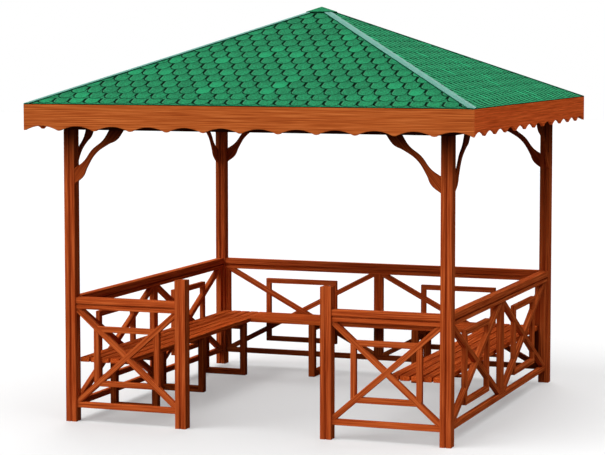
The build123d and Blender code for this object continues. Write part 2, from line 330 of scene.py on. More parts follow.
@dataclass(frozen=True)
class TimberStain:
    """Red-brown stain on planed softwood, with a figure that runs along each timber.

    The shade multiplies the common stain's three tones. The painted shade is how much darker
    the timber is painted towards a near-black, from one height on and over a depth: upwards for
    the shade under the roof, and downwards, with a depth below zero, for the shade under a bench.
    """

    name: str
    shade: Triple
    contrast: float = 1.0
    # painted shade: amount, start height, depth, sharpness and colour of the darkening by height
    shelter: float = 0.0
    shelter_from: float = 1.82
    shelter_deep: float = 0.52
    shelter_bend: float = 1.6
    deep: Colour = (0.275, 0.044, 0.0080)
    middle: Colour = (0.440, 0.085, 0.0165)
    pale: Colour = (0.590, 0.145, 0.0330)
    unbleached: Colour = (0.006, 0.0015, 0.001)
    stops: Triple = (0.14, 0.50, 0.86)
    drift_scale: Triple = (0.9, 16.0, 16.0)
    streak_scale: Triple = (2.2, 128.0, 128.0)
    fibre_scale: Triple = (14.0, 620.0, 620.0)
    wander_scale: Triple = (0.75, 5.0, 5.0)
    drift: float = 0.36
    streak: float = 2.30
    fibre: float = 0.40
    ring: float = 0.14
    ring_mean: float = 0.35
    ring_wide: float = 0.0105
    ring_wander: float = 0.055
    ring_edge: float = 2.2
    roughness: float = 0.66
    roughness_swing: float = 0.16
    gloss: float = 0.0005
    heights: Triple = (0.5, 0.3, 0.2)
    relief: float = 0.0006

    def material(self) -> bpy.types.Material:
        """Writes the finish: slow drifts, year rings and fine fibres under a low sheen.

        Returns:
            The material.
        """
        material, sheet = new_sheet(self.name)
        grain = sheet.attribute(GRAIN)
        drift = sheet.noise(sheet.stretched(grain, self.drift_scale))
        streak = sheet.noise(sheet.stretched(grain, self.streak_scale), rough=0.6)
        fibre = sheet.noise(sheet.stretched(grain, self.fibre_scale))
        ring = self._rings(sheet, grain)
        figure = (drift.swing(self.drift) + streak.swing(self.streak)
                  + fibre.swing(self.fibre) + ring.swing(self.ring, self.ring_mean))
        shades = [tuple(part * factor for part, factor in zip(tone, self.shade))
                  for tone in (self.deep, self.middle, self.pale)]
        tone = (figure * self.contrast + 0.5).held()
        colour = sheet.ramp(tone, list(zip(self.stops, shades)))
        # painted shade by height: upwards under the roof, downwards below a bench when the depth
        # is negative
        if self.shelter:
            _, _, up = sheet.parts(sheet.place())
            shaded = ((up - self.shelter_from) / self.shelter_deep).held() ** self.shelter_bend
            colour = sheet.blend(shaded * self.shelter, colour, self.unbleached)
        high_fibre, high_streak, high_ring = self.heights
        height = fibre * high_fibre + streak * high_streak + ring * high_ring
        sheet.surface({
            "Base Color": colour,
            "Roughness": self.roughness + fibre.swing(self.roughness_swing),
            "Specular IOR Level": self.gloss,
            "Normal": sheet.bump(height, self.relief, strength=0.5),
        })
        return material

    def _rings(self, sheet: Sheet, grain: Any) -> Level:
        """Year rings around a pith that wanders along the timber.

        Args:
            sheet: the sheet of the finish.
            grain: the place in the timber.

        Returns:
            The rings, 1 in the dark late wood.
        """
        _, across, through = sheet.parts(grain)
        wander = sheet.noise(sheet.stretched(grain, self.wander_scale), detail=1.0)
        pith = (across * across + through * through).root() + wander.swing(self.ring_wander)
        wave = (pith * (2 * math.pi / self.ring_wide)).sine()
        return (wave * 0.5 + 0.5).held() ** self.ring_edge


@dataclass(frozen=True)
class ShingleFinish:
    """Green granules pressed into bitumen tabs, no two tabs quite alike.

    Places on a tab are -1 to 1 across it and metres up from its tip. The rim is a painted
    shadow along the edge of the rounded foot, deepest near the middle of its band, at the tab's
    left side, and down to its rest beyond. The walls are the dark sides of the tab above the
    foot, and the overlap is the shade under the course above.
    """

    name: str
    dull: Colour = (0.013, 0.104, 0.048)
    plain: Colour = (0.019, 0.188, 0.080)
    fresh: Colour = (0.018, 0.275, 0.112)
    # dark colour of the tabs' sides and of the painted shadow along their feet
    bitumen: Colour = (0.003, 0.014, 0.008)
    worn: Colour = (0.085, 0.290, 0.160)
    fleck: Colour = (0.045, 0.215, 0.125)
    stops: Triple = (0.10, 0.45, 0.95)
    granule_scale: float = 330.0
    mottle_scale: float = 75.0
    cloud_scale: float = 7.0
    granule: float = 0.60
    mottle: float = 3.60
    cloud: float = 0.25
    flecks: float = 0.35
    fleck_step: tuple[float, float] = (0.62, 0.80)
    # painted highlight: strength, inner and outer edges of the band, and how far left it stays
    wear: float = 0.45
    wear_in: tuple[float, float] = (0.68, 0.80)
    wear_out: tuple[float, float] = (0.82, 0.90)
    wear_left: tuple[float, float] = (-0.75, -0.35)
    rim: float = 0.23
    band_middle: float = -1.0
    band_near: float = 0.25
    band_far: float = 0.90
    band_rest: float = 0.55
    walls_from: float = 0.040
    walls_soft: float = 0.006
    walls_inner: float = 0.93
    walls_fade: float = 0.04
    outline: float = 0.95
    overlap: float = 0.42
    overlap_step: tuple[float, float] = (0.065, 0.125)
    roughness: float = 0.84
    roughness_swing: float = 0.2
    gloss: float = 0.004
    relief: float = 0.0012

    def material(self) -> bpy.types.Material:
        """Writes the finish from the tab's own coordinates: across, up from its tip, tint.

        Returns:
            The material.
        """
        material, sheet = new_sheet(self.name)
        place = sheet.place()
        across, above, tint = sheet.parts(sheet.attribute(LAY))
        granule = sheet.noise(place, self.granule_scale, rough=0.7)
        mottle = sheet.noise(place, self.mottle_scale, detail=4.0, rough=0.75)
        cloud = sheet.noise(place, self.cloud_scale, detail=1.0)
        tone = (tint + mottle.swing(self.mottle) + cloud.swing(self.cloud)
                + granule.swing(self.granule))
        body = sheet.ramp(tone.held(), list(zip(self.stops, (self.dull, self.plain, self.fresh))))
        body = sheet.blend(above.step(*self.overlap_step) * self.overlap, body, self.dull)
        body = sheet.blend(granule.step(*self.fleck_step) * self.flecks, body, self.fleck)
        edge = self._edge(across, above)
        # painted highlight: a light band just inside the outline on the left of each tab
        worn = edge.step(*self.wear_in) * (1.0 - edge.step(*self.wear_out))
        worn = worn * (1.0 - across.step(*self.wear_left))
        body = sheet.blend(worn * self.wear, body, self.worn)
        # painted shadow along the foot, heaviest at the left, with the dark sides of the tab
        dark = self._outline(across, above, edge)
        sheet.surface({
            "Base Color": sheet.blend(dark * self.outline, body, self.bitumen),
            "Roughness": self.roughness + granule.swing(self.roughness_swing),
            "Specular IOR Level": self.gloss,
            "Normal": sheet.bump(granule + mottle * 0.5, self.relief, strength=0.7),
        })
        return material

    def _edge(self, across: Level, above: Level) -> Level:
        """Distance from the middle of the tab's round.

        Args:
            across: place across the tab.
            above: distance up from its tip.

        Returns:
            The distance, 1 on the outline of the foot and on the sides.
        """
        below = (ARC_DEEP - above).at_least(0.0) / ARC_DEEP
        return (across * across + below * below).root()

    def _outline(self, across: Level, above: Level, edge: Level) -> Level:
        """Dark outline of a tab: dark sides above the foot and a painted shadow along the foot.

        Args:
            across: place across the tab.
            above: distance up from its tip.
            edge: distance from the middle of the tab's round.

        Returns:
            How dark it is there, from 0 to 1.
        """
        away = abs(across - self.band_middle)
        weight = 1.0 - away.step(self.band_near, self.band_far) * (1.0 - self.band_rest)
        rim = ((edge - 1.0) / weight).step(-self.rim, -self.rim * 0.50) * weight
        wall = (across * across).step(self.walls_inner, self.walls_inner + self.walls_fade)
        wall = wall * above.step(self.walls_from, self.walls_from + self.walls_soft)
        return rim.at_least(wall)


@dataclass(frozen=True)
class PaintedTrim:
    """Pale green paint on folded sheet metal, a little chalky and uneven."""

    name: str
    colour: Colour = (0.064, 0.216, 0.170)
    chalk: Colour = (0.090, 0.256, 0.208)
    chalk_step: tuple[float, float] = (0.35, 0.75)
    cloud_scale: float = 9.0
    grit_scale: float = 260.0
    roughness: float = 0.55
    roughness_rise: float = 0.12
    gloss: float = 0.05
    relief: float = 0.0003

    def material(self) -> bpy.types.Material:
        """Writes the finish.

        Returns:
            The material.
        """
        material, sheet = new_sheet(self.name)
        place = sheet.place()
        cloud = sheet.noise(place, self.cloud_scale, detail=4.0, rough=0.6)
        grit = sheet.noise(place, self.grit_scale)
        sheet.surface({
            "Base Color": sheet.blend(cloud.step(*self.chalk_step), self.colour, self.chalk),
            "Roughness": self.roughness + cloud * self.roughness_rise,
            "Specular IOR Level": self.gloss,
            "Normal": sheet.bump(grit, self.relief, strength=0.3),
        })
        return material


@dataclass(frozen=True)
class FeltFinish:
    """Roofing felt, black with a little grit, that shows in joints and along edges."""

    name: str
    colour: Colour = (0.0010, 0.0050, 0.0025)
    grit_colour: Colour = (0.002, 0.009, 0.005)
    grit_scale: float = 240.0
    roughness: float = 0.9
    relief: float = 0.001

    def material(self) -> bpy.types.Material:
        """Writes the finish.

        Returns:
            The material.
        """
        material, sheet = new_sheet(self.name)
        grit = sheet.noise(sheet.place(), self.grit_scale, detail=3.0, rough=0.7)
        sheet.surface({
            "Base Color": sheet.blend(grit, self.colour, self.grit_colour),
            "Roughness": self.roughness,
            "Specular IOR Level": 0.0,
            "Normal": sheet.bump(grit, self.relief, strength=0.5),
        })
        return material


class Stain(Enum):
    """How each kind of timber is stained; some stains also carry painted shade or painted light.
    """

    # painted shade: the posts darken towards the top, under the roof
    POST = TimberStain("post_timber", (1.05, 0.90, 0.95), shelter=0.85)
    RAIL = TimberStain("rail_timber", (1.10, 0.93, 0.95))
    LATTICE = TimberStain("lattice_timber", (1.05, 0.92, 0.95))
    # painted shade: darkens below the seat height, for the shade under the back bench
    BACK_LATTICE = TimberStain(
        "back_lattice_timber", (1.05, 0.92, 0.95), shelter=0.62, shelter_from=0.54,
        shelter_deep=-0.10,
    )
    # painted shade: darker towards the top, under the roof, as on the posts
    BRACE = TimberStain("brace_timber", (0.85, 0.68, 0.65), shelter=0.85)
    # painted shade: stained far darker than the other timbers, and darker still under the roof
    BEAM = TimberStain("beam_timber", (0.45, 0.38, 0.38), shelter=0.85)
    FASCIA = TimberStain("fascia_timber", (1.12, 1.26, 1.30), contrast=0.8)
    # painted light: the side boards are stained lighter than the front ones, standing in for light
    SIDE_FASCIA = TimberStain("side_fascia_timber", (1.90, 1.50, 1.45), contrast=0.6)
    RAFTER = TimberStain("rafter_timber", (0.80, 0.70, 0.70))
    BENCH = TimberStain("bench_timber", (1.30, 1.05, 0.90))
    # painted shade: a darker copy of the bench stain for legs and bearers, for the shade under the
    # seats
    BENCH_LEG = TimberStain("bench_leg_timber", (0.62, 0.50, 0.46))

    def mix(self) -> bpy.types.Material:
        """Writes the stain."""
        return self.value.material()


class Covering(Enum):
    """How the shingles, felts and trim of the roof are finished."""

    SHINGLE = ShingleFinish("roof_shingle")
    SIDE_SHINGLE = ShingleFinish(
        "side_roof_shingle", dull=(0.018, 0.140, 0.066), plain=(0.024, 0.240, 0.104),
        fresh=(0.024, 0.360, 0.150), bitumen=(0.001, 0.014, 0.006), rim=0.08,
        band_rest=0.20, walls_from=0.088, walls_inner=0.60, overlap=0.03,
    )
    FELT = FeltFinish("roof_felt")
    SIDE_FELT = FeltFinish("side_roof_felt", (0.001, 0.012, 0.005), (0.002, 0.016, 0.008))
    # painted shadow: the dark green bed under the hip strips' sides
    HIP_BED = FeltFinish("hip_bed", (0.007, 0.070, 0.036), (0.009, 0.090, 0.046))
    TRIM = PaintedTrim("hip_trim")

    def mix(self) -> bpy.types.Material:
        """Writes the finish."""
        return self.value.material()


# --- timbers and pieces ----------------------------------------------------------------------


def is_sharp(edge: bmesh.types.BMEdge, least: float = SHARP) -> bool:
    """Whether the two faces at an edge meet at more than the least angle."""
    return len(edge.link_faces) == 2 and edge.calc_face_angle() > least


def saw_off(mesh: bmesh.types.BMesh, point: Iterable[float], normal: Iterable[float]) -> None:
    """Cuts a mesh at a plane, drops the normal's side and closes every cut face.

    Args:
        mesh: closed solids.
        point: a point of the plane.
        normal: its normal, towards the waste.
    """
    everything = [*mesh.verts, *mesh.edges, *mesh.faces]
    bmesh.ops.bisect_plane(
        mesh, geom=everything, dist=1e-6, plane_co=point, plane_no=normal,
        clear_outer=True, clear_inner=False,
    )
    open_edges = [e for e in mesh.edges if len(e.link_faces) == 1]
    if open_edges:
        bmesh.ops.holes_fill(mesh, edges=open_edges, sides=0)


def draw_out(mesh: bmesh.types.BMesh, faces: list[bmesh.types.BMFace], shift: Triple) -> None:
    """Extrudes faces and shifts what comes out.

    Args:
        mesh: the mesh of the faces.
        faces: the faces to extrude.
        shift: how far and where to.
    """
    body = bmesh.ops.extrude_face_region(mesh, geom=faces)["geom"]
    drawn = [v for v in body if isinstance(v, bmesh.types.BMVert)]
    bmesh.ops.translate(mesh, vec=shift, verts=drawn)


def add_pyramid(mesh: bmesh.types.BMesh, half: float, top_half: float, fall: float) -> None:
    """Adds a square pyramid around the origin, cut off level at its top.

    Args:
        mesh: the mesh that takes it.
        half: half the side of its foot.
        top_half: half the side of its top, or 0 for a point.
        fall: drop of its slopes for each metre outwards.
    """
    bmesh.ops.create_cone(
        mesh, cap_ends=True, cap_tris=False, segments=4, radius1=half * math.sqrt(2),
        radius2=top_half * math.sqrt(2), depth=fall * (half - top_half),
        matrix=Matrix.Rotation(math.pi / 4, 4, "Z"),
    )


def new_object(name: str, data: Any) -> bpy.types.Object:
    """Puts a new object in the scene.

    Args:
        name: its name.
        data: its mesh, curve, lamp or camera.

    Returns:
        The object.
    """
    made = bpy.data.objects.new(name, data)
    bpy.context.scene.collection.objects.link(made)
    return made


class Timber:
    """One board or bar on the bench: x runs along its grain, y is its width, z its thickness."""

    def __init__(self, length: float = 0.0, width: float = 0.0, thick: float = 0.0) -> None:
        """Cuts the blank to size around the origin, or clears the bench.

        Args:
            length: its length along the grain, or 0 for an empty bench.
            width: its width.
            thick: its thickness.
        """
        self.mesh = bmesh.new()
        self.pose = Matrix.Identity(4)
        if length:
            bmesh.ops.create_cube(self.mesh, size=1.0)
            bmesh.ops.scale(self.mesh, vec=(length, width, thick), verts=self.mesh.verts)

    def long_edges(self) -> list[bmesh.types.BMEdge]:
        """Edges that run the length of the timber while it lies along x."""
        return [e for e in self.mesh.edges if abs(e.verts[0].co.x - e.verts[1].co.x) > LONG]

    def ease(self, offset: float, edges: Iterable[Any] | None = None, rounds: int = 1) -> "Timber":
        """Bevels edges.

        Args:
            offset: width of the bevel.
            edges: the edges, or None for every sharp one.
            rounds: segments of the bevel.

        Returns:
            The timber itself.
        """
        if edges is None:
            edges = [e for e in self.mesh.edges if is_sharp(e)]
        bmesh.ops.bevel(
            self.mesh, geom=list(edges), offset=offset, offset_type="OFFSET",
            segments=rounds, profile=0.5, affect="EDGES", material=-1, clamp_overlap=True,
        )
        return self

    def place(self, matrix: Matrix) -> "Timber":
        """Moves the timber.

        Args:
            matrix: the move.

        Returns:
            The timber itself.
        """
        bmesh.ops.transform(self.mesh, matrix=matrix, verts=self.mesh.verts)
        self.pose = matrix @ self.pose
        return self

    def saw(self, point: Iterable[float], normal: Iterable[float]) -> "Timber":
        """Saws off what lies beyond a plane, towards its normal, and closes the cut."""
        saw_off(self.mesh, point, normal)
        return self


class Piece:
    """The mesh of one finished piece, gathered from parts that keep their own attributes.

    Each timber's grain starts from a place drawn along, across and away from the pith.
    """

    ALONG: tuple[float, float] = (-40.0, 40.0)
    ACROSS: tuple[float, float] = (-0.03, 0.03)
    OFF_PITH: tuple[float, float] = (0.05, 0.13)

    def __init__(self, name: str) -> None:
        """Starts an empty piece with its own random draws.

        Args:
            name: name of the finished object.
        """
        self.name = name
        self.draws = random.Random(f"{name}-{SEED}")
        self.mesh = bmesh.new()
        self.mesh.verts.layers.float_vector.new(GRAIN)

    def add(self, timber: Timber) -> None:
        """Takes in a placed timber, with grain that runs along it from a place of its own.

        Args:
            timber: the timber, which is used up.
        """
        ranges = (self.ALONG, self.ACROSS, self.OFF_PITH)
        start = Vector([self.draws.uniform(low, high) for low, high in ranges])
        layer = timber.mesh.verts.layers.float_vector.new(GRAIN)
        home = timber.pose.inverted()
        for vertex in timber.mesh.verts:
            vertex[layer] = home @ vertex.co + start
        self.take(timber.mesh)

    def take(self, mesh: bmesh.types.BMesh) -> None:
        """Takes in a mesh as it stands.

        Args:
            mesh: the mesh, which is used up.
        """
        passing = bpy.data.meshes.new("passing")
        mesh.to_mesh(passing)
        mesh.free()
        self.mesh.from_mesh(passing)
        bpy.data.meshes.remove(passing)

    def finish(self, material: bpy.types.Material, slot: str | None, *nodes: str) -> None:
        """Makes the object, dresses it and hands it to the frame.

        Args:
            material: its finish.
            slot: the record's slot that the finish stands for, if it has one; not used.
            nodes: the CAD nodes that the piece replaces.
        """
        made = bpy.data.meshes.new(self.name)
        bmesh.ops.recalc_face_normals(self.mesh, faces=self.mesh.faces)
        self.mesh.to_mesh(made)
        self.mesh.free()
        made.materials.append(material)
        piece = new_object(self.name, made)
        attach(piece, BODY)
        if nodes:
            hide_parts(*nodes)
        LOG.info("%s: %d faces", self.name, len(made.polygons))


def middle_of(node: str) -> Vector:
    """Middle of a CAD node's box."""
    low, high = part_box(node)
    return (low + high) / 2


def size_of(node: str) -> Vector:
    """Size of a CAD node's box."""
    low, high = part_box(node)
    return high - low


# --- posts -----------------------------------------------------------------------------------


@dataclass
class Posts:
    """Square posts with a V groove down each face; the entrance pair has bevelled heads."""

    stain: bpy.types.Material
    groove_wide: float = 0.018
    groove_deep: float = 0.015
    arris: float = 0.003
    head_bevel: float = 0.01176
    names: tuple[str, ...] = (
        "post_front_left", "post_front_right", "post_back_left", "post_back_right",
        "newel_left", "newel_right",
    )

    def build(self) -> None:
        """Builds every post in the box of its node."""
        for node in self.names:
            size = size_of(node)
            post = self._grooved(size.z, size.x)
            if node.startswith("newel"):
                tip = size.z / 2 - HAIR
                post.ease(self.head_bevel, [
                    e for e in post.mesh.edges
                    if is_sharp(e) and all(v.co.x > tip for v in e.verts)
                ])
            post.place(STANDING).place(move(*middle_of(node)))
            piece = Piece("grooved_" + node)
            piece.add(post)
            piece.finish(self.stain, "post_timber", node)

    def _grooved(self, length: float, width: float) -> Timber:
        """Squares up a post and runs the grooves.

        Args:
            length: length of the post.
            width: side of its section.

        Returns:
            The post, lying along x.
        """
        post = Timber(length, width, width)
        post.ease(self.arris, post.long_edges())
        for normal in ((0, 1, 0), (0, 0, 1)):
            everything = [*post.mesh.verts, *post.mesh.edges, *post.mesh.faces]
            bmesh.ops.bisect_plane(post.mesh, geom=everything, plane_co=(0, 0, 0), plane_no=normal)
        centres = [e for e in post.long_edges() if self._is_central(e.verts[0], width)]
        post.ease(self.groove_wide / 2, centres, 2)
        shrink = 1 - self.groove_deep / (width / 2)
        for vertex in post.mesh.verts:
            if self._is_central(vertex, width):
                vertex.co.y *= shrink
                vertex.co.z *= shrink
        return post

    def _is_central(self, vertex: bmesh.types.BMVert, width: float) -> bool:
        """Whether a vertex lies on the middle line of a face of a post of the given width."""
        near, far = sorted((abs(vertex.co.y), abs(vertex.co.z)))
        return near < HAIR and far > width / 2 - HAIR


# --- balustrade ------------------------------------------------------------------------------


@dataclass
class Handrails:
    """Top rails of a cap, a narrow spacer and a lower board, and the plain rails at the foot.

    Each section is a width and a height.
    """

    stain: bpy.types.Material
    back_stain: bpy.types.Material
    cap: tuple[float, float] = (0.070, 0.050)
    spacer: tuple[float, float] = (0.036, 0.012)
    lower: tuple[float, float] = (0.060, 0.032)
    batten: tuple[float, float] = (0.012, 0.040)
    foot_wide: float = 0.044
    arris: float = 0.004

    def build(self) -> None:
        """Builds the rails between the posts."""
        for ending, sides, foot_stain in (
            ("rails_front", (Side.FRONT,), self.stain),
            ("rails_left_right", (Side.LEFT, Side.RIGHT), self.stain),
            # the back foot rail takes the back lattice's stain, with its painted shade below the
            # seat
            ("rail_back", (Side.BACK,), self.back_stain),
        ):
            top_node, foot_node = "top_" + ending, "bottom_" + ending
            top, foot = Piece("moulded_" + top_node), Piece("planed_" + foot_node)
            for side in sides:
                for run in self._runs(side):
                    self._top_rail(top, side, run, top_node)
                    self._foot_rail(foot, side, run, foot_node)
            if Side.FRONT in sides:
                self._hung_batten(top)
            top.finish(self.stain, "rail_timber", top_node)
            foot.finish(foot_stain, "rail_timber", foot_node)

    def _runs(self, side: Side) -> list[tuple[float, float]]:
        """Finds the rails of a side.

        Args:
            side: the side of the gazebo.

        Returns:
            Start and end of each rail along the side, from post to post.
        """
        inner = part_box("post_back_right")[0].x
        if side is not Side.FRONT:
            return [(-inner, inner)]
        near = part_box("newel_right")[1].x
        return [(-inner, -near), (near, inner)]

    def _lay(self, piece: Piece, side: Side, run: tuple[float, float], middle_z: float,
             section: tuple[float, float], shift: float = 0.0) -> None:
        """Lays one board of a rail.

        Args:
            piece: the piece that takes it.
            side: the side of the gazebo.
            run: its start and end along the side.
            middle_z: height of its middle.
            section: its width and height.
            shift: how far inwards it lies from the middle of the rail.
        """
        start, end = run
        wide, tall = section
        board = Timber(end - start, wide, tall)
        board.ease(min(self.arris, tall / 4), board.long_edges(), 2)
        line = middle_of("post_front_right").y
        board.place(move((start + end) / 2, line + shift, middle_z)).place(side.turn)
        piece.add(board)

    def _top_rail(self, piece: Piece, side: Side, run: tuple[float, float], node: str) -> None:
        """Lays the three boards of a top rail.

        Args:
            piece: the piece that takes them.
            side: the side of the gazebo.
            run: start and end of the rail along the side.
            node: the rail's node, from whose top the boards go down.
        """
        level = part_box(node)[1].z
        for section in (self.cap, self.spacer, self.lower):
            self._lay(piece, side, run, level - section[1] / 2, section)
            level -= section[1]

    def _foot_rail(self, piece: Piece, side: Side, run: tuple[float, float], node: str) -> None:
        """Lays a foot rail.

        Args:
            piece: the piece that takes it.
            side: the side of the gazebo.
            run: start and end of the rail along the side.
            node: the rail's node, which gives its height.
        """
        low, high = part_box(node)
        self._lay(piece, side, run, (low.z + high.z) / 2, (self.foot_wide, high.z - low.z))

    def _hung_batten(self, piece: Piece) -> None:
        """Lays the batten that hangs behind the front right bay.

        Args:
            piece: the piece that takes it.
        """
        thick, tall = self.batten
        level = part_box("top_rails_front")[0].z + tall / 2
        shift = (size_of("lattice_front_right").y + thick) / 2
        self._lay(piece, Side.FRONT, self._runs(Side.FRONT)[1], level, self.batten, shift)


class BayPattern(Enum):
    """How far the rectangle stays from a bay's ends and edges, and the width of the stiles."""

    SHORT = (0.1455, 0.1335, 0.0)
    LONG = (0.363, 0.080, 0.042)


@dataclass
class LatticeBay:
    """Crossed bars and a rectangle, halved into one another, with a stile at each end of a long
    bay.

    The lap is how far a bar's faces lie behind those of the bar that passes over it.
    """

    node: str
    side: Side
    stain: bpy.types.Material
    pattern: BayPattern
    bar: float = 0.044
    arris: float = 0.0025
    lap: float = 0.0008
    piece: Piece = field(init=False)
    seat: Matrix = field(init=False)
    length: float = field(init=False)
    height: float = field(init=False)
    clear: float = field(init=False)

    def __post_init__(self) -> None:
        """Reads the bay from the box of its node."""
        size = size_of(self.node)
        self.length, self.height = max(size.x, size.y), size.z
        _, _, stile = self.pattern.value
        self.clear = self.length - 2 * stile
        self.seat = move(*middle_of(self.node)) @ self.side.turn @ UPRIGHT
        self.piece = Piece("joined_" + self.node)

    def build(self) -> None:
        """Builds the crossed bars, the rectangle and the stiles."""
        ends, edges, stile = self.pattern.value
        slope = math.atan2(self.height, self.clear)
        reach = math.hypot(self.height, self.clear) + 2 * self.bar
        self._bar(reach, slope, trim=True)
        self._bar(reach, -slope, shy=self.lap, trim=True)
        across, up = self.clear - 2 * ends, self.height - 2 * edges
        for sign in (-1, 1):
            level, place = sign * (up - self.bar) / 2, sign * (across - self.bar) / 2
            self._bar(across - 2 * self.lap, 0.0, y=level, shy=2 * self.lap)
            self._bar(up - 2 * self.lap, math.pi / 2, x=place, shy=3 * self.lap)
        if stile:
            for sign in (-1, 1):
                place = sign * (self.length - stile) / 2
                self._bar(self.height, math.pi / 2, x=place, width=stile)
        self.piece.finish(self.stain, "lattice_timber", self.node)

    def _bar(self, length: float, turn: float, x: float = 0.0, y: float = 0.0,
             shy: float = 0.0, trim: bool = False, width: float | None = None) -> None:
        """Adds one bar.

        Args:
            length: its length.
            turn: its slope in the bay.
            x: place of its middle along the bay.
            y: place of its middle up the bay.
            shy: how far its faces lie behind those of the bars that pass over it.
            trim: whether its ends are sawn to the rails and stiles.
            width: its width, if it isn't a common bar.
        """
        bar = Timber(length, width or self.bar, self.bar - 2 * shy)
        bar.ease(self.arris)
        bar.place(move(x, y) @ Matrix.Rotation(turn, 4, "Z"))
        if trim:
            for sign in (-1, 1):
                bar.saw((sign * self.clear / 2, 0, 0), (sign, 0, 0))
                bar.saw((0, sign * self.height / 2, 0), (0, sign, 0))
        self.piece.add(bar.place(self.seat))


# --- braces and top plate --------------------------------------------------------------------


@dataclass
class Braces:
    """Ogee braces sawn from board, one along each side at every corner post.

    The knots of the lower curve are shares of the brace's reach. Those of the upper curve are
    shares of the reach without the square end.
    """

    stain: bpy.types.Material
    reach: float = 0.426
    end: float = 0.124
    thick: float = 0.020
    ease: float = 0.003
    steps: int = 7
    slant: float = 52.0
    lower: tuple[tuple[float, float], ...] = (
        (0.178, 0.141), (0.263, 0.315), (0.434, 0.566), (0.685, 0.737), (0.859, 0.822),
    )
    upper: tuple[tuple[float, float], ...] = ((0.255, 0.172), (0.510, 0.490), (0.828, 0.745))
    corners: tuple[str, ...] = ("front_left", "front_right", "back_right", "back_left")

    def build(self) -> None:
        """Builds the braces of the four corners."""
        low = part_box("braces_front_left")[0]
        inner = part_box("post_front_left")[1]
        half = self.thick / 2
        seats = (move(inner.x, low.y + half, low.z) @ UPRIGHT,
                 move(low.x + half, inner.y, low.z) @ QUARTER @ UPRIGHT)
        for turns, corner in enumerate(self.corners):
            piece = Piece("ogee_braces_" + corner)
            turn = Matrix.Rotation(turns * math.pi / 2, 4, "Z")
            for seat in seats:
                piece.add(self._sawn().place(turn @ seat))
            piece.finish(self.stain, "brace_timber", "braces_" + corner)

    def _sawn(self) -> Timber:
        """Saws the brace's outline from a smooth flat curve.

        Returns:
            The brace, x leaving the post and y rising to the plate, grain on the slant.
        """
        inner = self.reach - self.end
        upper = [(x * inner, self.end + y * inner) for x, y in self.upper]
        lower = [(x * self.reach, y * self.reach) for x, y in self.lower]
        outline = [(0.0, 0.0), *lower, (self.reach, self.reach), (inner, self.reach),
                   *reversed(upper), (0.0, self.end)]
        curve = bpy.data.curves.new("brace_outline", "CURVE")
        curve.dimensions = "2D"
        curve.fill_mode = "BOTH"
        curve.resolution_u = self.steps
        curve.extrude = self.thick / 2 - self.ease
        curve.bevel_depth = self.ease
        curve.bevel_resolution = 0
        curve.offset = -self.ease
        spline = curve.splines.new("BEZIER")
        spline.bezier_points.add(len(outline) - 1)
        for knot, corner in zip(spline.bezier_points, outline):
            knot.co = (*corner, 0.0)
            kind = "AUTO" if corner in upper or corner in lower else "VECTOR"
            knot.handle_left_type = knot.handle_right_type = kind
        spline.use_cyclic_u = True
        drawn = new_object("brace_outline", curve)
        shape = bpy.data.meshes.new_from_object(
            drawn.evaluated_get(bpy.context.evaluated_depsgraph_get())
        )
        bpy.data.objects.remove(drawn)
        brace = Timber()
        brace.mesh.from_mesh(shape)
        bmesh.ops.remove_doubles(brace.mesh, verts=brace.mesh.verts, dist=HAIR)
        brace.pose = Matrix.Rotation(math.radians(self.slant), 4, "Z")
        return brace


@dataclass
class TopPlate:
    """Beams on the posts: front and back run through, the side beams fit between them."""

    stain: bpy.types.Material
    arris: float = 0.004

    def build(self) -> None:
        """Builds the four beams."""
        wide = size_of("post_front_left").x
        line = middle_of("post_front_right").x
        for node, sides in (("top_beams_front_back", (Side.FRONT, Side.BACK)),
                            ("top_beams_left_right", (Side.LEFT, Side.RIGHT))):
            low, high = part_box(node)
            length = 2 * (high.x if Side.FRONT in sides else high.y)
            seat = move(0, -line, (low.z + high.z) / 2) @ UPRIGHT
            piece = Piece("plate_" + node)
            for side in sides:
                beam = Timber(length, high.z - low.z, wide).ease(self.arris)
                piece.add(beam.place(side.turn @ seat))
            piece.finish(self.stain, "beam_timber", node)


# --- roof ------------------------------------------------------------------------------------


@dataclass
class RoofShape:
    """Places of the pyramid roof, read from its nodes.

    The deck is the upright depth of the whole covering. Half and inner are the distances of
    the fascias' faces from the middle, outside and inside.
    """

    deck: float = 0.033
    half: float = field(init=False)
    inner: float = field(init=False)
    eave: float = field(init=False)
    apex: float = field(init=False)

    def __post_init__(self) -> None:
        """Reads the pyramid from the fascias and a slope."""
        fascia_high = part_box("fascias_front_back")[1]
        slope_low, slope_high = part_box("roof_slope_front")
        self.half = fascia_high.y
        self.inner = -slope_low.y
        self.apex = slope_high.z
        fall = (self.apex - fascia_high.z) / self.inner
        self.eave = self.apex - fall * self.half

    @property
    def fall(self) -> float:
        """Drop of the roof for each metre outwards."""
        return (self.apex - self.eave) / self.half

    @property
    def pitch(self) -> float:
        """Pitch of the slopes in radians."""
        return math.atan(self.fall)

    @property
    def length(self) -> float:
        """Length of a slope from the eave up to the apex."""
        return math.hypot(self.half, self.apex - self.eave)

    @property
    def lean(self) -> Vector:
        """Normal of the front slope."""
        return Vector((0, -math.sin(self.pitch), math.cos(self.pitch)))

    def top(self, out: float) -> float:
        """Height of the roof surface at a distance from the middle."""
        return self.apex - self.fall * out

    def seat(self) -> Matrix:
        """Seat on the front slope: x along the eave, y up the slope, z out of the roof."""
        return move(0, -self.half, self.eave) @ Matrix.Rotation(self.pitch, 4, "X")

    def trim(self, mesh: bmesh.types.BMesh, gap: float) -> None:
        """Cuts a front slope's mesh at its two hips.

        Args:
            mesh: closed solids in their place on the front slope.
            gap: how far short of the hips the cuts are.
        """
        for sign in (-1, 1):
            normal = Vector((sign, 1, 0)).normalized()
            saw_off(mesh, -normal * gap, normal)


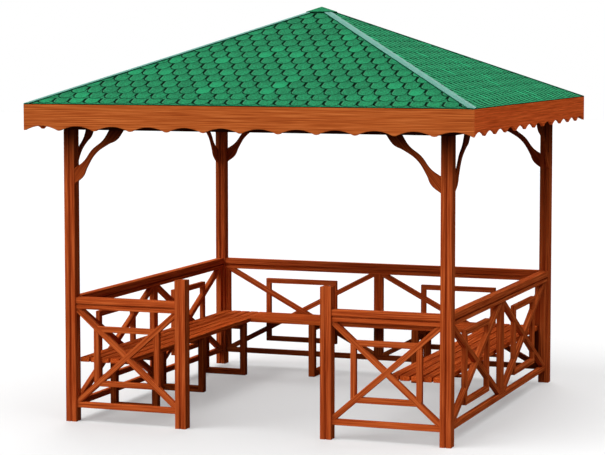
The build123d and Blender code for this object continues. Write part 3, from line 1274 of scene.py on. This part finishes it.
@dataclass
class Fascia:
    """Fascia boards with shallow arches and narrow rounded tips, mitred at the corners.

    Each scallop rises by the tip's share over the half width of its tip, and by the rest over
    its arch. The covering is the thickness that the roof's edge takes above the board.
    """

    stain: bpy.types.Material
    side_stain: bpy.types.Material
    roof: RoofShape
    thick: float = 0.022
    scallops: int = 12
    rise: float = 0.036
    tip: float = 0.030
    tip_share: float = 0.28
    steps: int = 20
    ease: float = 0.003
    lip_angle: float = 0.5
    lip_depth: float = 0.05
    covering: float = 0.0057

    def build(self) -> None:
        """Builds both pairs of boards."""
        for node, sides, stain in (
            ("fascias_front_back", (Side.FRONT, Side.BACK), self.stain),
            ("fascias_left_right", (Side.LEFT, Side.RIGHT), self.side_stain),
        ):
            piece = Piece("scalloped_" + node)
            for side in sides:
                piece.add(self._board(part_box(node)[0].z).place(side.turn))
            piece.finish(stain, "fascia_timber", node)

    def _board(self, low: float) -> Timber:
        """Saws one front board.

        Args:
            low: height of the scallop tips.

        Returns:
            The board in its place on the front.
        """
        half, top = self.roof.half, self.roof.top(self.roof.inner)
        board = Timber()
        mesh = board.mesh
        bmesh.ops.create_grid(mesh, x_segments=self.scallops * self.steps, y_segments=1, size=1.0)
        for vertex in mesh.verts:
            vertex.co.x *= half
            vertex.co.y = top if vertex.co.y > 0 else low + self._lift(vertex.co.x + half)
        draw_out(mesh, mesh.faces[:], (0, 0, -self.thick))
        bmesh.ops.recalc_face_normals(mesh, faces=mesh.faces)
        board.ease(self.ease, [
            e for e in mesh.edges
            if all(v.co.y < top - self.lip_depth for v in e.verts)
            and abs(e.verts[0].co.z - e.verts[1].co.z) < HAIR and is_sharp(e, self.lip_angle)
        ])
        board.place(move(0, -half, 0) @ UPRIGHT)
        lean = self.roof.lean
        board.saw(Vector((0, -half, self.roof.eave)) - lean * self.covering, lean)
        for sign in (-1, 1):
            board.saw((0, 0, 0), (sign, 1, 0))
        return board

    def _lift(self, along: float) -> float:
        """Shape of the scalloped edge.

        Args:
            along: distance from the corner.

        Returns:
            Its height above the tips.
        """
        pitch = 2 * self.roof.half / self.scallops
        place = along % pitch
        near = min(place, pitch - place)
        if near < self.tip:
            return self.rise * self.tip_share * (near / self.tip) ** 2
        across = (near - self.tip) / (pitch / 2 - self.tip)
        return self.rise * (self.tip_share + (1 - self.tip_share) * (1 - (1 - across) ** 2))


@dataclass(frozen=True)
class Tabs:
    """The shingle tabs of one pair of slopes, with the felt that shows in their joints.

    The length runs from a tab's tip to its head, under the next courses.
    """

    shingle: bpy.types.Material
    felt: bpy.types.Material
    joint: float
    length: float


@dataclass
class RoofCovering:
    """Round-bottomed shingles on felt and close boards, on each of the four slopes.

    The pitch is the distance from joint to joint, the exposure that from course to course, and
    the crown what the cap covers. The lift is how far a tab's tip stands above its head, and
    the tilt how far one of its sides stands above the other. A tab is shaped from a disc: what
    is past "head from" goes to the head, and there what is past "side from" to the sides.
    """

    facing: Tabs
    aside: Tabs
    stain: bpy.types.Material
    roof: RoofShape
    pitch: float = 0.1313
    exposure: float = 0.1168
    first_tips: tuple[float, ...] = (0.019, 0.112, 0.214)
    first_joint: float = -0.0155
    crown: float = 0.101
    corners: int = 20
    head_from: float = 0.1
    side_from: float = 0.9
    thick: float = 0.0032
    taper: float = 0.985
    lift: float = 0.0046
    tilt: float = 0.0018
    skew: float = 0.0022
    drop: float = 0.0015
    tint: float = 0.42
    tint_spread: float = 0.05
    fresh: float = 0.09
    fresh_tints: tuple[float, float] = (0.62, 0.82)
    eave_length: float = 0.098
    eave_arc: float = 0.62
    starter: tuple[float, float] = (0.004, 0.042)
    closer_wide: float = 0.048
    closer_gap: float = 0.0004
    starter_gap: float = 0.0001
    strip_lay: Triple = (0.0, 0.09, 0.35)
    edge: float = 0.0056
    edge_wide: float = 0.004
    edge_gap: float = 0.0008
    felt_thick: float = 0.002
    board: float = 0.096
    board_gap: float = 0.0015
    board_spare: float = 0.02
    arris: float = 0.003
    hip_gap: float = 0.001
    tab_hip_gap: float = 0.002

    def build(self) -> None:
        """Covers the four slopes."""
        felt, side_felt = Piece("roof_felt_front_back"), Piece("roof_felt_left_right")
        for side in Side:
            facing = side in (Side.FRONT, Side.BACK)
            self._lay_boards(side)
            self._lay_felt(felt if facing else side_felt, side)
            self._lay_shingles(side, self.facing if facing else self.aside)
        felt.finish(self.facing.felt, None)
        side_felt.finish(self.aside.felt, None)

    @property
    def start(self) -> float:
        """Distance up a slope at which it leaves the fascia."""
        return (self.roof.half - self.roof.inner) / math.cos(self.roof.pitch)

    def _half_at(self, up: float) -> float:
        """Half the width of a slope at a distance up it."""
        return self.roof.half * (1 - up / self.roof.length)

    def _lay_boards(self, side: Side) -> None:
        """Lays the close boards of one slope, seen from below.

        Args:
            side: the side of the gazebo.
        """
        piece = Piece("roof_boards_" + side.key)
        under = self.roof.deck * math.cos(self.roof.pitch)
        thick = under - (self.lift + self.thick + self.felt_thick)
        for i in range(math.ceil((self.roof.length - self.start) / self.board)):
            foot = self.start + i * self.board
            width = 2 * self._half_at(foot) + self.board_spare
            plank = Timber(width, self.board - self.board_gap, thick).ease(self.arris)
            plank.place(move(0, foot + self.board / 2, -under + thick / 2))
            plank.place(self.roof.seat())
            self.roof.trim(plank.mesh, self.hip_gap)
            if plank.mesh.faces:
                piece.add(plank.place(side.turn))
        piece.finish(self.stain, "rafter_timber", "roof_slope_" + side.key)

    def _lay_felt(self, piece: Piece, side: Side) -> None:
        """Lays the felt of one slope between boards and shingles, and its edge at the eave.

        Args:
            piece: the piece that takes it.
            side: the side of the gazebo.
        """
        length, wide = self.roof.length - self.start, 2 * self.roof.half
        under = self.lift + self.thick + self.felt_thick / 2
        for strip, up, down in (
            (Timber(wide, length, self.felt_thick), self.start + length / 2, under),
            (Timber(wide, self.edge_wide, self.edge - self.edge_gap),
             self.edge_wide / 2, (self.edge + self.edge_gap) / 2),
        ):
            strip.place(move(0, up, -down)).place(self.roof.seat())
            self.roof.trim(strip.mesh, self.hip_gap)
            piece.add(strip.place(side.turn))

    def _lay_shingles(self, side: Side, tabs: Tabs) -> None:
        """Lays the courses of one slope from the eave up.

        Args:
            side: the side of the gazebo.
            tabs: its tabs.
        """
        piece = Piece("shingles_" + side.key)
        mesh = bmesh.new()
        mesh.verts.layers.float_vector.new(LAY)
        tips = list(self.first_tips)
        while tips[-1] + self.exposure < self.roof.length - self.crown:
            tips.append(tips[-1] + self.exposure)
        for row, tip in enumerate(tips):
            shift = self.first_joint + (self.pitch / 2 if row and row % 2 == 0 else 0.0)
            reach = self._half_at(tip)
            first = math.floor((-reach - shift) / self.pitch)
            last = math.ceil((reach - shift) / self.pitch)
            for i in range(first, last):
                middle = shift + (i + 0.5) * self.pitch
                self._lay_tab(mesh, piece.draws, tabs, middle, tip, row == 0)
            if row == 0:
                self._lay_strips(mesh, tip)
        mesh.transform(self.roof.seat())
        self.roof.trim(mesh, self.tab_hip_gap)
        mesh.transform(side.turn)
        piece.take(mesh)
        piece.finish(tabs.shingle, "roof_shingle", "roof_slope_" + side.key)

    def _lay_tab(self, mesh: bmesh.types.BMesh, draws: random.Random, tabs: Tabs,
                 middle: float, tip: float, at_eave: bool) -> None:
        """Lays one tab: round at its foot, square at its head.

        Args:
            mesh: the mesh that takes it, on the slope's seat.
            draws: the random draws of the slope.
            tabs: the tabs of the slope.
            middle: place of its middle along the eave.
            tip: distance of its tip up the slope.
            at_eave: whether it is one of the short tabs of the eave course.
        """
        length = self.eave_length if at_eave else tabs.length
        deep = ARC_DEEP * (self.eave_arc if at_eave else 1.0)
        half = (self.pitch - tabs.joint) / 2
        tint = min(max(draws.gauss(self.tint, self.tint_spread), 0.0), 1.0)
        if draws.random() < self.fresh:
            tint = draws.uniform(*self.fresh_tints)
        skew = draws.uniform(-self.skew, self.skew)
        drop = draws.uniform(-self.drop, self.drop)
        made = bmesh.ops.create_cone(
            mesh, cap_ends=True, cap_tris=False, segments=self.corners,
            radius1=1.0, radius2=self.taper, depth=self.thick,
        )["verts"]
        lay = mesh.verts.layers.float_vector[LAY]
        for vertex in made:
            across, y, z = vertex.co
            in_head = y > self.head_from
            if in_head and abs(across) > self.side_from:
                across = math.copysign(1.0, across)
            up = length if in_head else deep * (1 + y)
            vertex[lay] = (across, up * ARC_DEEP / deep if up < deep else up, tint)
            slant = -self.lift * up / tabs.length
            level = z - self.thick / 2 + slant - across * self.tilt / 2
            vertex.co = (middle + across * half + skew, tip + up + drop, level)

    def _lay_strips(self, mesh: bmesh.types.BMesh, tip: float) -> None:
        """Lays the starter strip under the eave course and the closer above its heads.

        Args:
            mesh: the mesh that takes them, on the slope's seat.
            tip: distance of the eave course's tips up the slope.
        """
        foot, wide = self.starter
        under = -self.thick - self.starter_gap
        head = -self.lift * self.eave_length / self.facing.length - self.closer_gap
        long = 2 * (self._half_at(tip) + tip)
        lay = mesh.verts.layers.float_vector[LAY]
        for up, deep, top, thick in (
            (foot, wide, under, self.edge + under),
            (tip + self.eave_length, self.closer_wide, head, self.thick),
        ):
            place = move(0, up + deep / 2, top - thick / 2)
            scale = Matrix.Diagonal((long, deep, thick, 1.0))
            for vertex in bmesh.ops.create_cube(mesh, size=1.0, matrix=place @ scale)["verts"]:
                vertex[lay] = self.strip_lay


@dataclass
class HipTrim:
    """Folded strips over the four hips and the small pyramid cap on the apex.

    A strip is folded flatter than its hip: it stands on the lift at the fold and higher by the
    rise at its sides, where a dark bed fills the gap as a painted shadow under the strip's sides.
    It bends at the fold, at the shoulder, which is a multiple of the fold, and at the lip, which
    is a share of its width.
    """

    paint: bpy.types.Material
    bed: bpy.types.Material
    felt: bpy.types.Material
    shingle: bpy.types.Material
    roof: RoofShape
    half_wide: float = 0.0375
    fold: float = 0.007
    shoulder: float = 1.7
    lip: float = 0.9
    sheet: float = 0.0014
    lift: float = 0.0008
    rise: float = 0.0056
    bed_shy: float = 0.001
    bed_top: float = -0.0002
    steps: int = 24
    tuck: float = 0.012
    spare: float = 0.02
    edge_shy: float = 0.0005
    cap_peak: float = 0.011
    cap_cuts: int = 5
    cap_rim: float = 0.0064
    cap_tint: float = 0.42
    cap_lay: float = 0.06
    under_wider: float = 0.008
    under_inner: float = 0.04
    under_stand: float = 0.0018

    def build(self) -> None:
        """Builds the strips and the cap."""
        # the beds are dark, a painted shadow under the strips' sides
        strips, beds = Piece("folded_hip_strips"), Piece("bitumen_hip_beds")
        narrow, deep = self.half_wide - self.bed_shy, 2 * self.rise
        for side in Side:
            strips.take(self._layer(side.turn, self.half_wide, self.sheet, self.sheet))
            beds.take(self._layer(side.turn, narrow, self.bed_top, deep))
        strips.finish(self.paint, "hip_trim", "hip_strips")
        beds.finish(self.bed, None)
        self._cap()
        self._cap_bed()

    @property
    def cap_half(self) -> float:
        """Half the side of the cap."""
        return size_of("apex_cap").x / 2

    def _layer(self, turn: Matrix, half_wide: float, top: float,
               thick: float) -> bmesh.types.BMesh:
        """Folds one long layer over a hip, flatter than the hip itself.

        Args:
            turn: carries the front right hip onto this one.
            half_wide: half its width.
            top: height of its top above the underside of the strip.
            thick: its thickness.

        Returns:
            The layer in its place.
        """
        folds = (0.0, self.fold, self.fold * self.shoulder, half_wide * self.lip, half_wide)
        rows = len(folds) - 1
        mesh = bmesh.new()
        mesh.verts.layers.float_vector.new(GRAIN)
        bmesh.ops.create_grid(mesh, x_segments=self.steps, y_segments=2 * rows, size=1.0)
        start = (self.cap_half - self.tuck) * math.sqrt(2)
        end = self.roof.half * math.sqrt(2) + self.spare
        for vertex in mesh.verts:
            aside = folds[round(abs(vertex.co.y) * rows)]
            out = start + (vertex.co.x + 1) / 2 * (end - start)
            drop = self.roof.fall * (out + aside) / math.sqrt(2)
            stand = self.lift + top + self.rise * min(aside / self.half_wide, self.lip)
            y = math.copysign(aside, vertex.co.y)
            vertex.co = (out, y, self.roof.apex - drop + stand)
        draw_out(mesh, mesh.faces[:], (0, 0, -thick))
        bmesh.ops.recalc_face_normals(mesh, faces=mesh.faces)
        for sign in (-1, 1):
            normal = Vector((1, sign, 0)).normalized()
            saw_off(mesh, normal * (self.roof.half - self.edge_shy), normal)
        mesh.transform(turn @ Matrix.Rotation(-math.pi / 4, 4, "Z"))
        return mesh

    def _cap(self) -> None:
        """Builds the cap: a low pyramid with a rounded peak and a turned-down rim."""
        fall = self.roof.fall
        tall = fall * self.cap_half
        mesh = bmesh.new()
        mesh.verts.layers.float_vector.new(LAY)
        add_pyramid(mesh, self.cap_half, 0.0, fall)
        bmesh.ops.remove_doubles(mesh, verts=mesh.verts, dist=HAIR)
        peak = max(mesh.verts, key=lambda vertex: vertex.co.z)
        bmesh.ops.bevel(
            mesh, geom=[peak], offset=self.cap_peak, segments=2, profile=0.5,
            affect="VERTICES", material=-1,
        )
        base = [f for f in mesh.faces if f.normal.z < 0 and f.calc_area() > self.cap_half ** 2]
        draw_out(mesh, base, (0, 0, -self.cap_rim))
        left = [f for f in base if f.is_valid]
        bmesh.ops.delete(mesh, geom=left, context="FACES_ONLY")
        sloping = [e for e in mesh.edges
                   if abs(e.verts[0].co.z - e.verts[1].co.z) > 2 * self.cap_rim]
        bmesh.ops.subdivide_edges(mesh, edges=sloping, cuts=self.cap_cuts, use_grid_fill=True)
        lay = mesh.verts.layers.float_vector[LAY]
        for vertex in mesh.verts:
            up = (vertex.co.z + tall / 2) / math.sin(self.roof.pitch)
            # painted shadow: the rim's vertices sit on the foot's outline, so the rim is drawn
            # dark
            place = (-1.0, 0.0) if up < -self.cap_rim / 2 else (0.0, min(up, self.cap_lay))
            vertex[lay] = (*place, self.cap_tint)
        mesh.transform(move(0, 0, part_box("apex_cap")[1].z - tall / 2))
        piece = Piece("shingled_apex_cap")
        piece.take(mesh)
        piece.finish(self.shingle, "roof_shingle", "apex_cap")

    def _cap_bed(self) -> None:
        """Lays a black felt sheet under the cap that shows as a thin dark line, a painted shadow.
        """
        reach = self.cap_half + self.under_wider
        mesh = bmesh.new()
        mesh.verts.layers.float_vector.new(GRAIN)
        add_pyramid(mesh, reach, self.under_inner, self.roof.fall)
        level = self.roof.top((reach + self.under_inner) / 2) + self.under_stand
        mesh.transform(move(0, 0, level))
        piece = Piece("apex_cap_bed")
        piece.take(mesh)
        piece.finish(self.felt, None)


@dataclass
class RoofFrame:
    """Rafters from the king block over the top plate to the fascia.

    The notch is how deep a rafter is let down over the plate, and the tail its depth at the
    fascia.
    """

    stain: bpy.types.Material
    roof: RoofShape
    wide: float = 0.045
    notch: float = 0.017
    tail: float = 0.110
    jack_offset: float = 0.760
    jack_spare: float = 0.03
    arris: float = 0.003
    king: float = field(init=False)
    plate_top: float = field(init=False)
    wall: float = field(init=False)
    depth: float = field(init=False)

    def __post_init__(self) -> None:
        """Reads the king block, the plate and the posts, and works out the rafters' depth."""
        self.king = size_of("king_block").x
        self.plate_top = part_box("top_beams_front_back")[1].z
        self.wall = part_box("post_front_right")[1].x
        self.depth = self._under(self.wall) + self.notch - self.plate_top

    def build(self) -> None:
        """Builds the king block and the three kinds of rafter."""
        self._king_block()
        common, jacks, hips = (Piece(f"planed_{kind}_rafters")
                               for kind in ("common", "jack", "hip"))
        for side in Side:
            common.add(self._rafter(self.king / 2).place(side.turn))
            for sign in (-1, 1):
                jacks.add(self._jack(sign).place(side.turn))
            hips.add(self._hip().place(side.turn))
        common.finish(self.stain, "rafter_timber", "common_rafters")
        jacks.finish(self.stain, "rafter_timber", "jack_rafters")
        hips.finish(self.stain, "rafter_timber", "hip_rafters")

    def _under(self, out: float) -> float:
        """Height of the underside of the covering at a distance from the middle."""
        return self.roof.top(out) - self.roof.deck

    def _king_block(self) -> None:
        """Builds the block that the rafters meet at, its head cut to the roof."""
        low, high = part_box("king_block")
        block = Timber(high.z - low.z, self.king, self.king)
        block.ease(self.arris).place(STANDING).place(move(0, 0, (low.z + high.z) / 2))
        for side in Side:
            block.saw((0, 0, high.z), side.turn.to_3x3() @ self.roof.lean)
        piece = Piece("cut_king_block")
        piece.add(block)
        piece.finish(self.stain, "rafter_timber", "king_block")

    def _jack(self, sign: int) -> Timber:
        """Cuts a front jack rafter, sawn off at the side of its hip rafter.

        Args:
            sign: -1 for the left one, 1 for the right one.

        Returns:
            The rafter in its place on the front.
        """
        jack = self._rafter(self.jack_offset - self.jack_spare)
        jack.place(move(sign * self.jack_offset))
        normal = Vector((sign, 1, 0)).normalized()
        return jack.saw(-normal * self.wide / 2, normal)

    def _hip(self) -> Timber:
        """Cuts the front right hip rafter, its top cut to both slopes and its ends to both sides.

        Returns:
            The rafter in its place.
        """
        hip = self._rafter((self.king - self.wide) / 2, math.sqrt(2))
        hip.place(Matrix.Rotation(math.pi / 4, 4, "Z"))
        front = self.roof.lean
        for lean in (Vector((-front.y, 0, front.z)), front):
            hip.saw((0, 0, self.roof.apex - self.roof.deck), lean)
        for reach, sign in ((self.king / 2, -1), (self.roof.inner, 1)):
            for way in (Vector((1, 0, 0)), Vector((0, -1, 0))):
                hip.saw(way * reach, way * sign)
        return hip

    def _rafter(self, inner: float, stretch: float = 1.0) -> Timber:
        """Cuts one front rafter, let down over the plate.

        Args:
            inner: distance of its upper end from the middle.
            stretch: lengthening in plan, for a rafter that runs along a hip.

        Returns:
            The rafter, running out over -Y.
        """
        seat = (self.roof.apex - self.roof.deck - self.depth - self.plate_top) / self.roof.fall
        inside = self.roof.inner
        corners = (
            (inner, self._under(inner)),
            (inside, self._under(inside)),
            (inside, self._under(inside) - self.tail),
            (self.wall, self._under(self.wall) - self.depth),
            (self.wall, self.plate_top),
            (seat, self.plate_top),
            (inner, self._under(inner) - self.depth),
        )
        rafter = Timber()
        mesh = rafter.mesh
        left = -self.wide / 2
        cheek = mesh.faces.new([mesh.verts.new((left, -out * stretch, z)) for out, z in corners])
        draw_out(mesh, [cheek], (self.wide, 0, 0))
        bmesh.ops.recalc_face_normals(mesh, faces=mesh.faces)
        rafter.ease(self.arris)
        rafter.pose = QUARTER @ Matrix.Rotation(self.roof.pitch, 4, "Y")
        return rafter


# --- benches ---------------------------------------------------------------------------------


@dataclass
class Bench:
    """A slatted seat along one side, on closed leg frames or on bearers without legs."""

    side: Side
    frames: int
    stain: bpy.types.Material
    leg_stain: bpy.types.Material
    slats: int = 5
    gap: float = 0.012
    bar: float = 0.051
    leg_thick: float = 0.061
    rail_shy: float = 0.002
    bearer_wide: float = 0.060
    arris: float = 0.004

    def build(self) -> None:
        """Builds the seat and what carries it."""
        self._seat()
        if self.frames:
            self._leg_frames()
        else:
            self._bearers()

    def _span(self, node: str) -> tuple[float, float, float, Matrix]:
        """Reads a node of the bench.

        Args:
            node: the node's name.

        Returns:
            Its depth, length and height, and the seat in its middle, x along the side.
        """
        size = size_of(node)
        seat = move(*middle_of(node)) @ self.side.turn
        return min(size.x, size.y), max(size.x, size.y), size.z, seat

    def _seat(self) -> None:
        """Lays the slats over the box of the seat's node."""
        node = "seat_" + self.side.key
        deep, length, thick, seat = self._span(node)
        wide = (deep - (self.slats - 1) * self.gap) / self.slats
        piece = Piece("slatted_" + node)
        for i in range(self.slats):
            place = -deep / 2 + wide / 2 + i * (wide + self.gap)
            slat = Timber(length, wide, thick).ease(self.arris, rounds=2)
            piece.add(slat.place(seat @ move(0, place)))
        piece.finish(self.stain, "bench_timber", node)

    def _bearers(self) -> None:
        """Lays three flat bearers under the slats, spread over the box of their node."""
        node = "seat_bearers_" + self.side.key
        deep, length, thick, seat = self._span(node)
        spread = length - self.bearer_wide
        piece = Piece("planed_" + node)
        for along in (-spread / 2, 0.0, spread / 2):
            bearer = Timber(deep, self.bearer_wide, thick).ease(self.arris / 2)
            piece.add(bearer.place(seat @ move(along) @ QUARTER))
        piece.finish(self.leg_stain, "bench_timber", node)

    def _leg_frames(self) -> None:
        """Joins the leg frames, spread evenly over the box of their node."""
        node = "leg_frames_" + self.side.key
        deep, length, tall, seat = self._span(node)
        piece = Piece("joined_" + node)
        for i in range(self.frames):
            along = (length - self.leg_thick) * (i / (self.frames - 1) - 0.5)
            stand = seat @ move(along) @ QUARTER @ UPRIGHT
            for sign in (-1, 1):
                leg = Timber(tall, self.bar, self.leg_thick).ease(self.arris)
                piece.add(leg.place(stand @ move(sign * (deep - self.bar) / 2) @ QUARTER))
                rail = Timber(deep - 2 * self.bar, self.bar, self.leg_thick - self.rail_shy)
                rail.ease(self.arris, rail.long_edges())
                piece.add(rail.place(stand @ move(0, sign * (tall - self.bar) / 2)))
        piece.finish(self.leg_stain, "bench_timber", node)


# --- studio ----------------------------------------------------------------------------------


@dataclass(frozen=True)
class Lamp:
    """A broad, far light: degrees above the floor, and clockwise from the back seen from above.

    The spread is the angle that it fills, in degrees.
    """

    name: str
    strength: float
    height: float
    bearing: float
    spread: float
    away: float = 12.0

    def hang(self) -> None:
        """Hangs the lamp so that it shines on the middle of the gazebo."""
        light = bpy.data.lights.new(self.name, "SUN")
        light.energy = self.strength
        light.angle = math.radians(self.spread)
        rise, turn = math.radians(self.height), math.radians(self.bearing)
        level = math.cos(rise)
        towards = Vector((math.sin(turn) * level, math.cos(turn) * level, math.sin(rise)))
        hung = new_object(self.name, light)
        hung.rotation_mode = "QUATERNION"
        hung.rotation_quaternion = towards.to_track_quat("Z", "Y")
        hung.location = towards * self.away


@dataclass
class Studio:
    """Pale floor, broad soft lights and the camera."""

    floor_half: float = 60.0
    floor_seen: float = 0.50
    floor_glow: float = 0.30
    floor_bounce: float = 0.20
    dome: float = 0.03
    lamps: tuple[Lamp, ...] = (
        Lamp("key_light", 2.10, 50.0, 225.0, 45.0),
        Lamp("front_light", 1.20, 25.0, 181.0, 30.0),
        Lamp("right_light", 1.25, 62.0, 92.0, 45.0),
        Lamp("back_light", 1.90, 38.0, -12.0, 45.0),
        Lamp("top_light", 0.60, 70.0, -45.0, 60.0),
    )
    lens: float = 120.04
    sensor: float = 36.0
    shift: tuple[float, float] = (-0.0097, -0.0415)
    stand: Triple = (5.680, -15.829, 3.005)
    look_down: float = 0.07918
    look_left: float = 0.35117
    sight: float = 500.0

    def build(self) -> None:
        """Sets up the floor, the lights and the camera."""
        self._floor()
        self._world()
        for lamp in self.lamps:
            lamp.hang()
        self._camera()
        bpy.context.scene.view_settings.view_transform = "Standard"

    def _floor(self) -> None:
        """Lays the floor: pale, lifted to white for the camera, dull to the object."""
        mesh = bmesh.new()
        bmesh.ops.create_grid(mesh, x_segments=1, y_segments=1, size=self.floor_half)
        made = bpy.data.meshes.new("studio_floor")
        mesh.to_mesh(made)
        mesh.free()
        material, sheet = new_sheet("studio_floor")
        seen = sheet.node("ShaderNodeLightPath").outputs["Is Camera Ray"]
        colour = sheet.blend(seen, (self.floor_bounce,) * 3, (self.floor_seen,) * 3)
        matt = sheet.node("ShaderNodeBsdfDiffuse", None, {"Color": colour}).outputs[0]
        lift = Level(sheet, seen) * self.floor_glow
        glow = sheet.node("ShaderNodeEmission", None, {"Strength": lift}).outputs[0]
        both = sheet.node("ShaderNodeAddShader", None, {0: matt, 1: glow}).outputs[0]
        sheet.node("ShaderNodeOutputMaterial", None, {"Surface": both})
        made.materials.append(material)
        new_object("studio_floor", made)

    def _world(self) -> None:
        """Opens a faint dome of light, white where the camera or a gloss sees it."""
        world = bpy.data.worlds.new("studio_dome")
        world.use_nodes = True
        bpy.context.scene.world = world
        sheet = Sheet(world.node_tree)
        path = sheet.node("ShaderNodeLightPath").outputs
        seen, gloss, clear = (Level(sheet, path[f"Is {kind} Ray"])
                              for kind in ("Camera", "Glossy", "Transmission"))
        white = (seen + gloss + clear).held()
        inputs = {"Color": (1, 1, 1), "Strength": white + (1.0 - white) * self.dome}
        dome = sheet.node("ShaderNodeBackground", None, inputs).outputs[0]
        sheet.node("ShaderNodeOutputWorld", None, {"Surface": dome})

    def _camera(self) -> None:
        """Stands the camera in front, to the right, a little above head height."""
        lens = bpy.data.cameras.new("camera")
        lens.lens = self.lens
        lens.sensor_width = self.sensor
        lens.shift_x, lens.shift_y = self.shift
        lens.clip_end = self.sight
        camera = new_object("camera", lens)
        camera.location = self.stand
        camera.rotation_euler = (math.pi / 2 - self.look_down, 0.0, self.look_left)
        bpy.context.scene.camera = camera


# --- all together ----------------------------------------------------------------------------


def build_walls(roof: RoofShape) -> None:
    """Builds the posts, the balustrade, the braces, the top plate and the fascia.

    Args:
        roof: the shape of the roof.
    """
    # the back stain is painted darker below the seat, as shade
    lattice_stain, back_stain = Stain.LATTICE.mix(), Stain.BACK_LATTICE.mix()
    Posts(Stain.POST.mix()).build()
    Handrails(Stain.RAIL.mix(), back_stain).build()
    for side, halves, stain, pattern in (
        (Side.FRONT, ("left", "right"), lattice_stain, BayPattern.SHORT),
        (Side.RIGHT, ("front", "back"), lattice_stain, BayPattern.LONG),
        (Side.BACK, ("left", "right"), back_stain, BayPattern.LONG),
        (Side.LEFT, ("front", "back"), lattice_stain, BayPattern.LONG),
    ):
        for half in halves:
            LatticeBay(f"lattice_{side.key}_{half}", side, stain, pattern).build()
    Braces(Stain.BRACE.mix()).build()
    TopPlate(Stain.BEAM.mix()).build()
    Fascia(Stain.FASCIA.mix(), Stain.SIDE_FASCIA.mix(), roof).build()


def build_roof(roof: RoofShape) -> None:
    """Builds the rafters, the covering and the trim of the roof.

    Args:
        roof: the shape of the roof.
    """
    rafter_stain, shingle, felt = Stain.RAFTER.mix(), Covering.SHINGLE.mix(), Covering.FELT.mix()
    facing = Tabs(shingle, felt, joint=0.0108, length=0.166)
    aside = Tabs(Covering.SIDE_SHINGLE.mix(), Covering.SIDE_FELT.mix(), joint=0.0220, length=0.210)
    RoofFrame(rafter_stain, roof).build()
    RoofCovering(facing, aside, rafter_stain, roof).build()
    HipTrim(Covering.TRIM.mix(), Covering.HIP_BED.mix(), felt, shingle, roof).build()


def build_benches() -> None:
    """Builds the three benches; the one without leg frames rests on bearers."""
    stain, leg_stain = Stain.BENCH.mix(), Stain.BENCH_LEG.mix()
    for side, frames in ((Side.LEFT, 3), (Side.RIGHT, 0), (Side.BACK, 2)):
        Bench(side, frames, stain, leg_stain).build()


def main() -> None:
    """Builds the gazebo piece by piece, then the studio."""
    logging.basicConfig(level=logging.INFO, format="%(message)s")
    roof = RoofShape()
    build_walls(roof)
    build_roof(roof)
    build_benches()
    Studio().build()


if __name__ == "__main__":
    main()
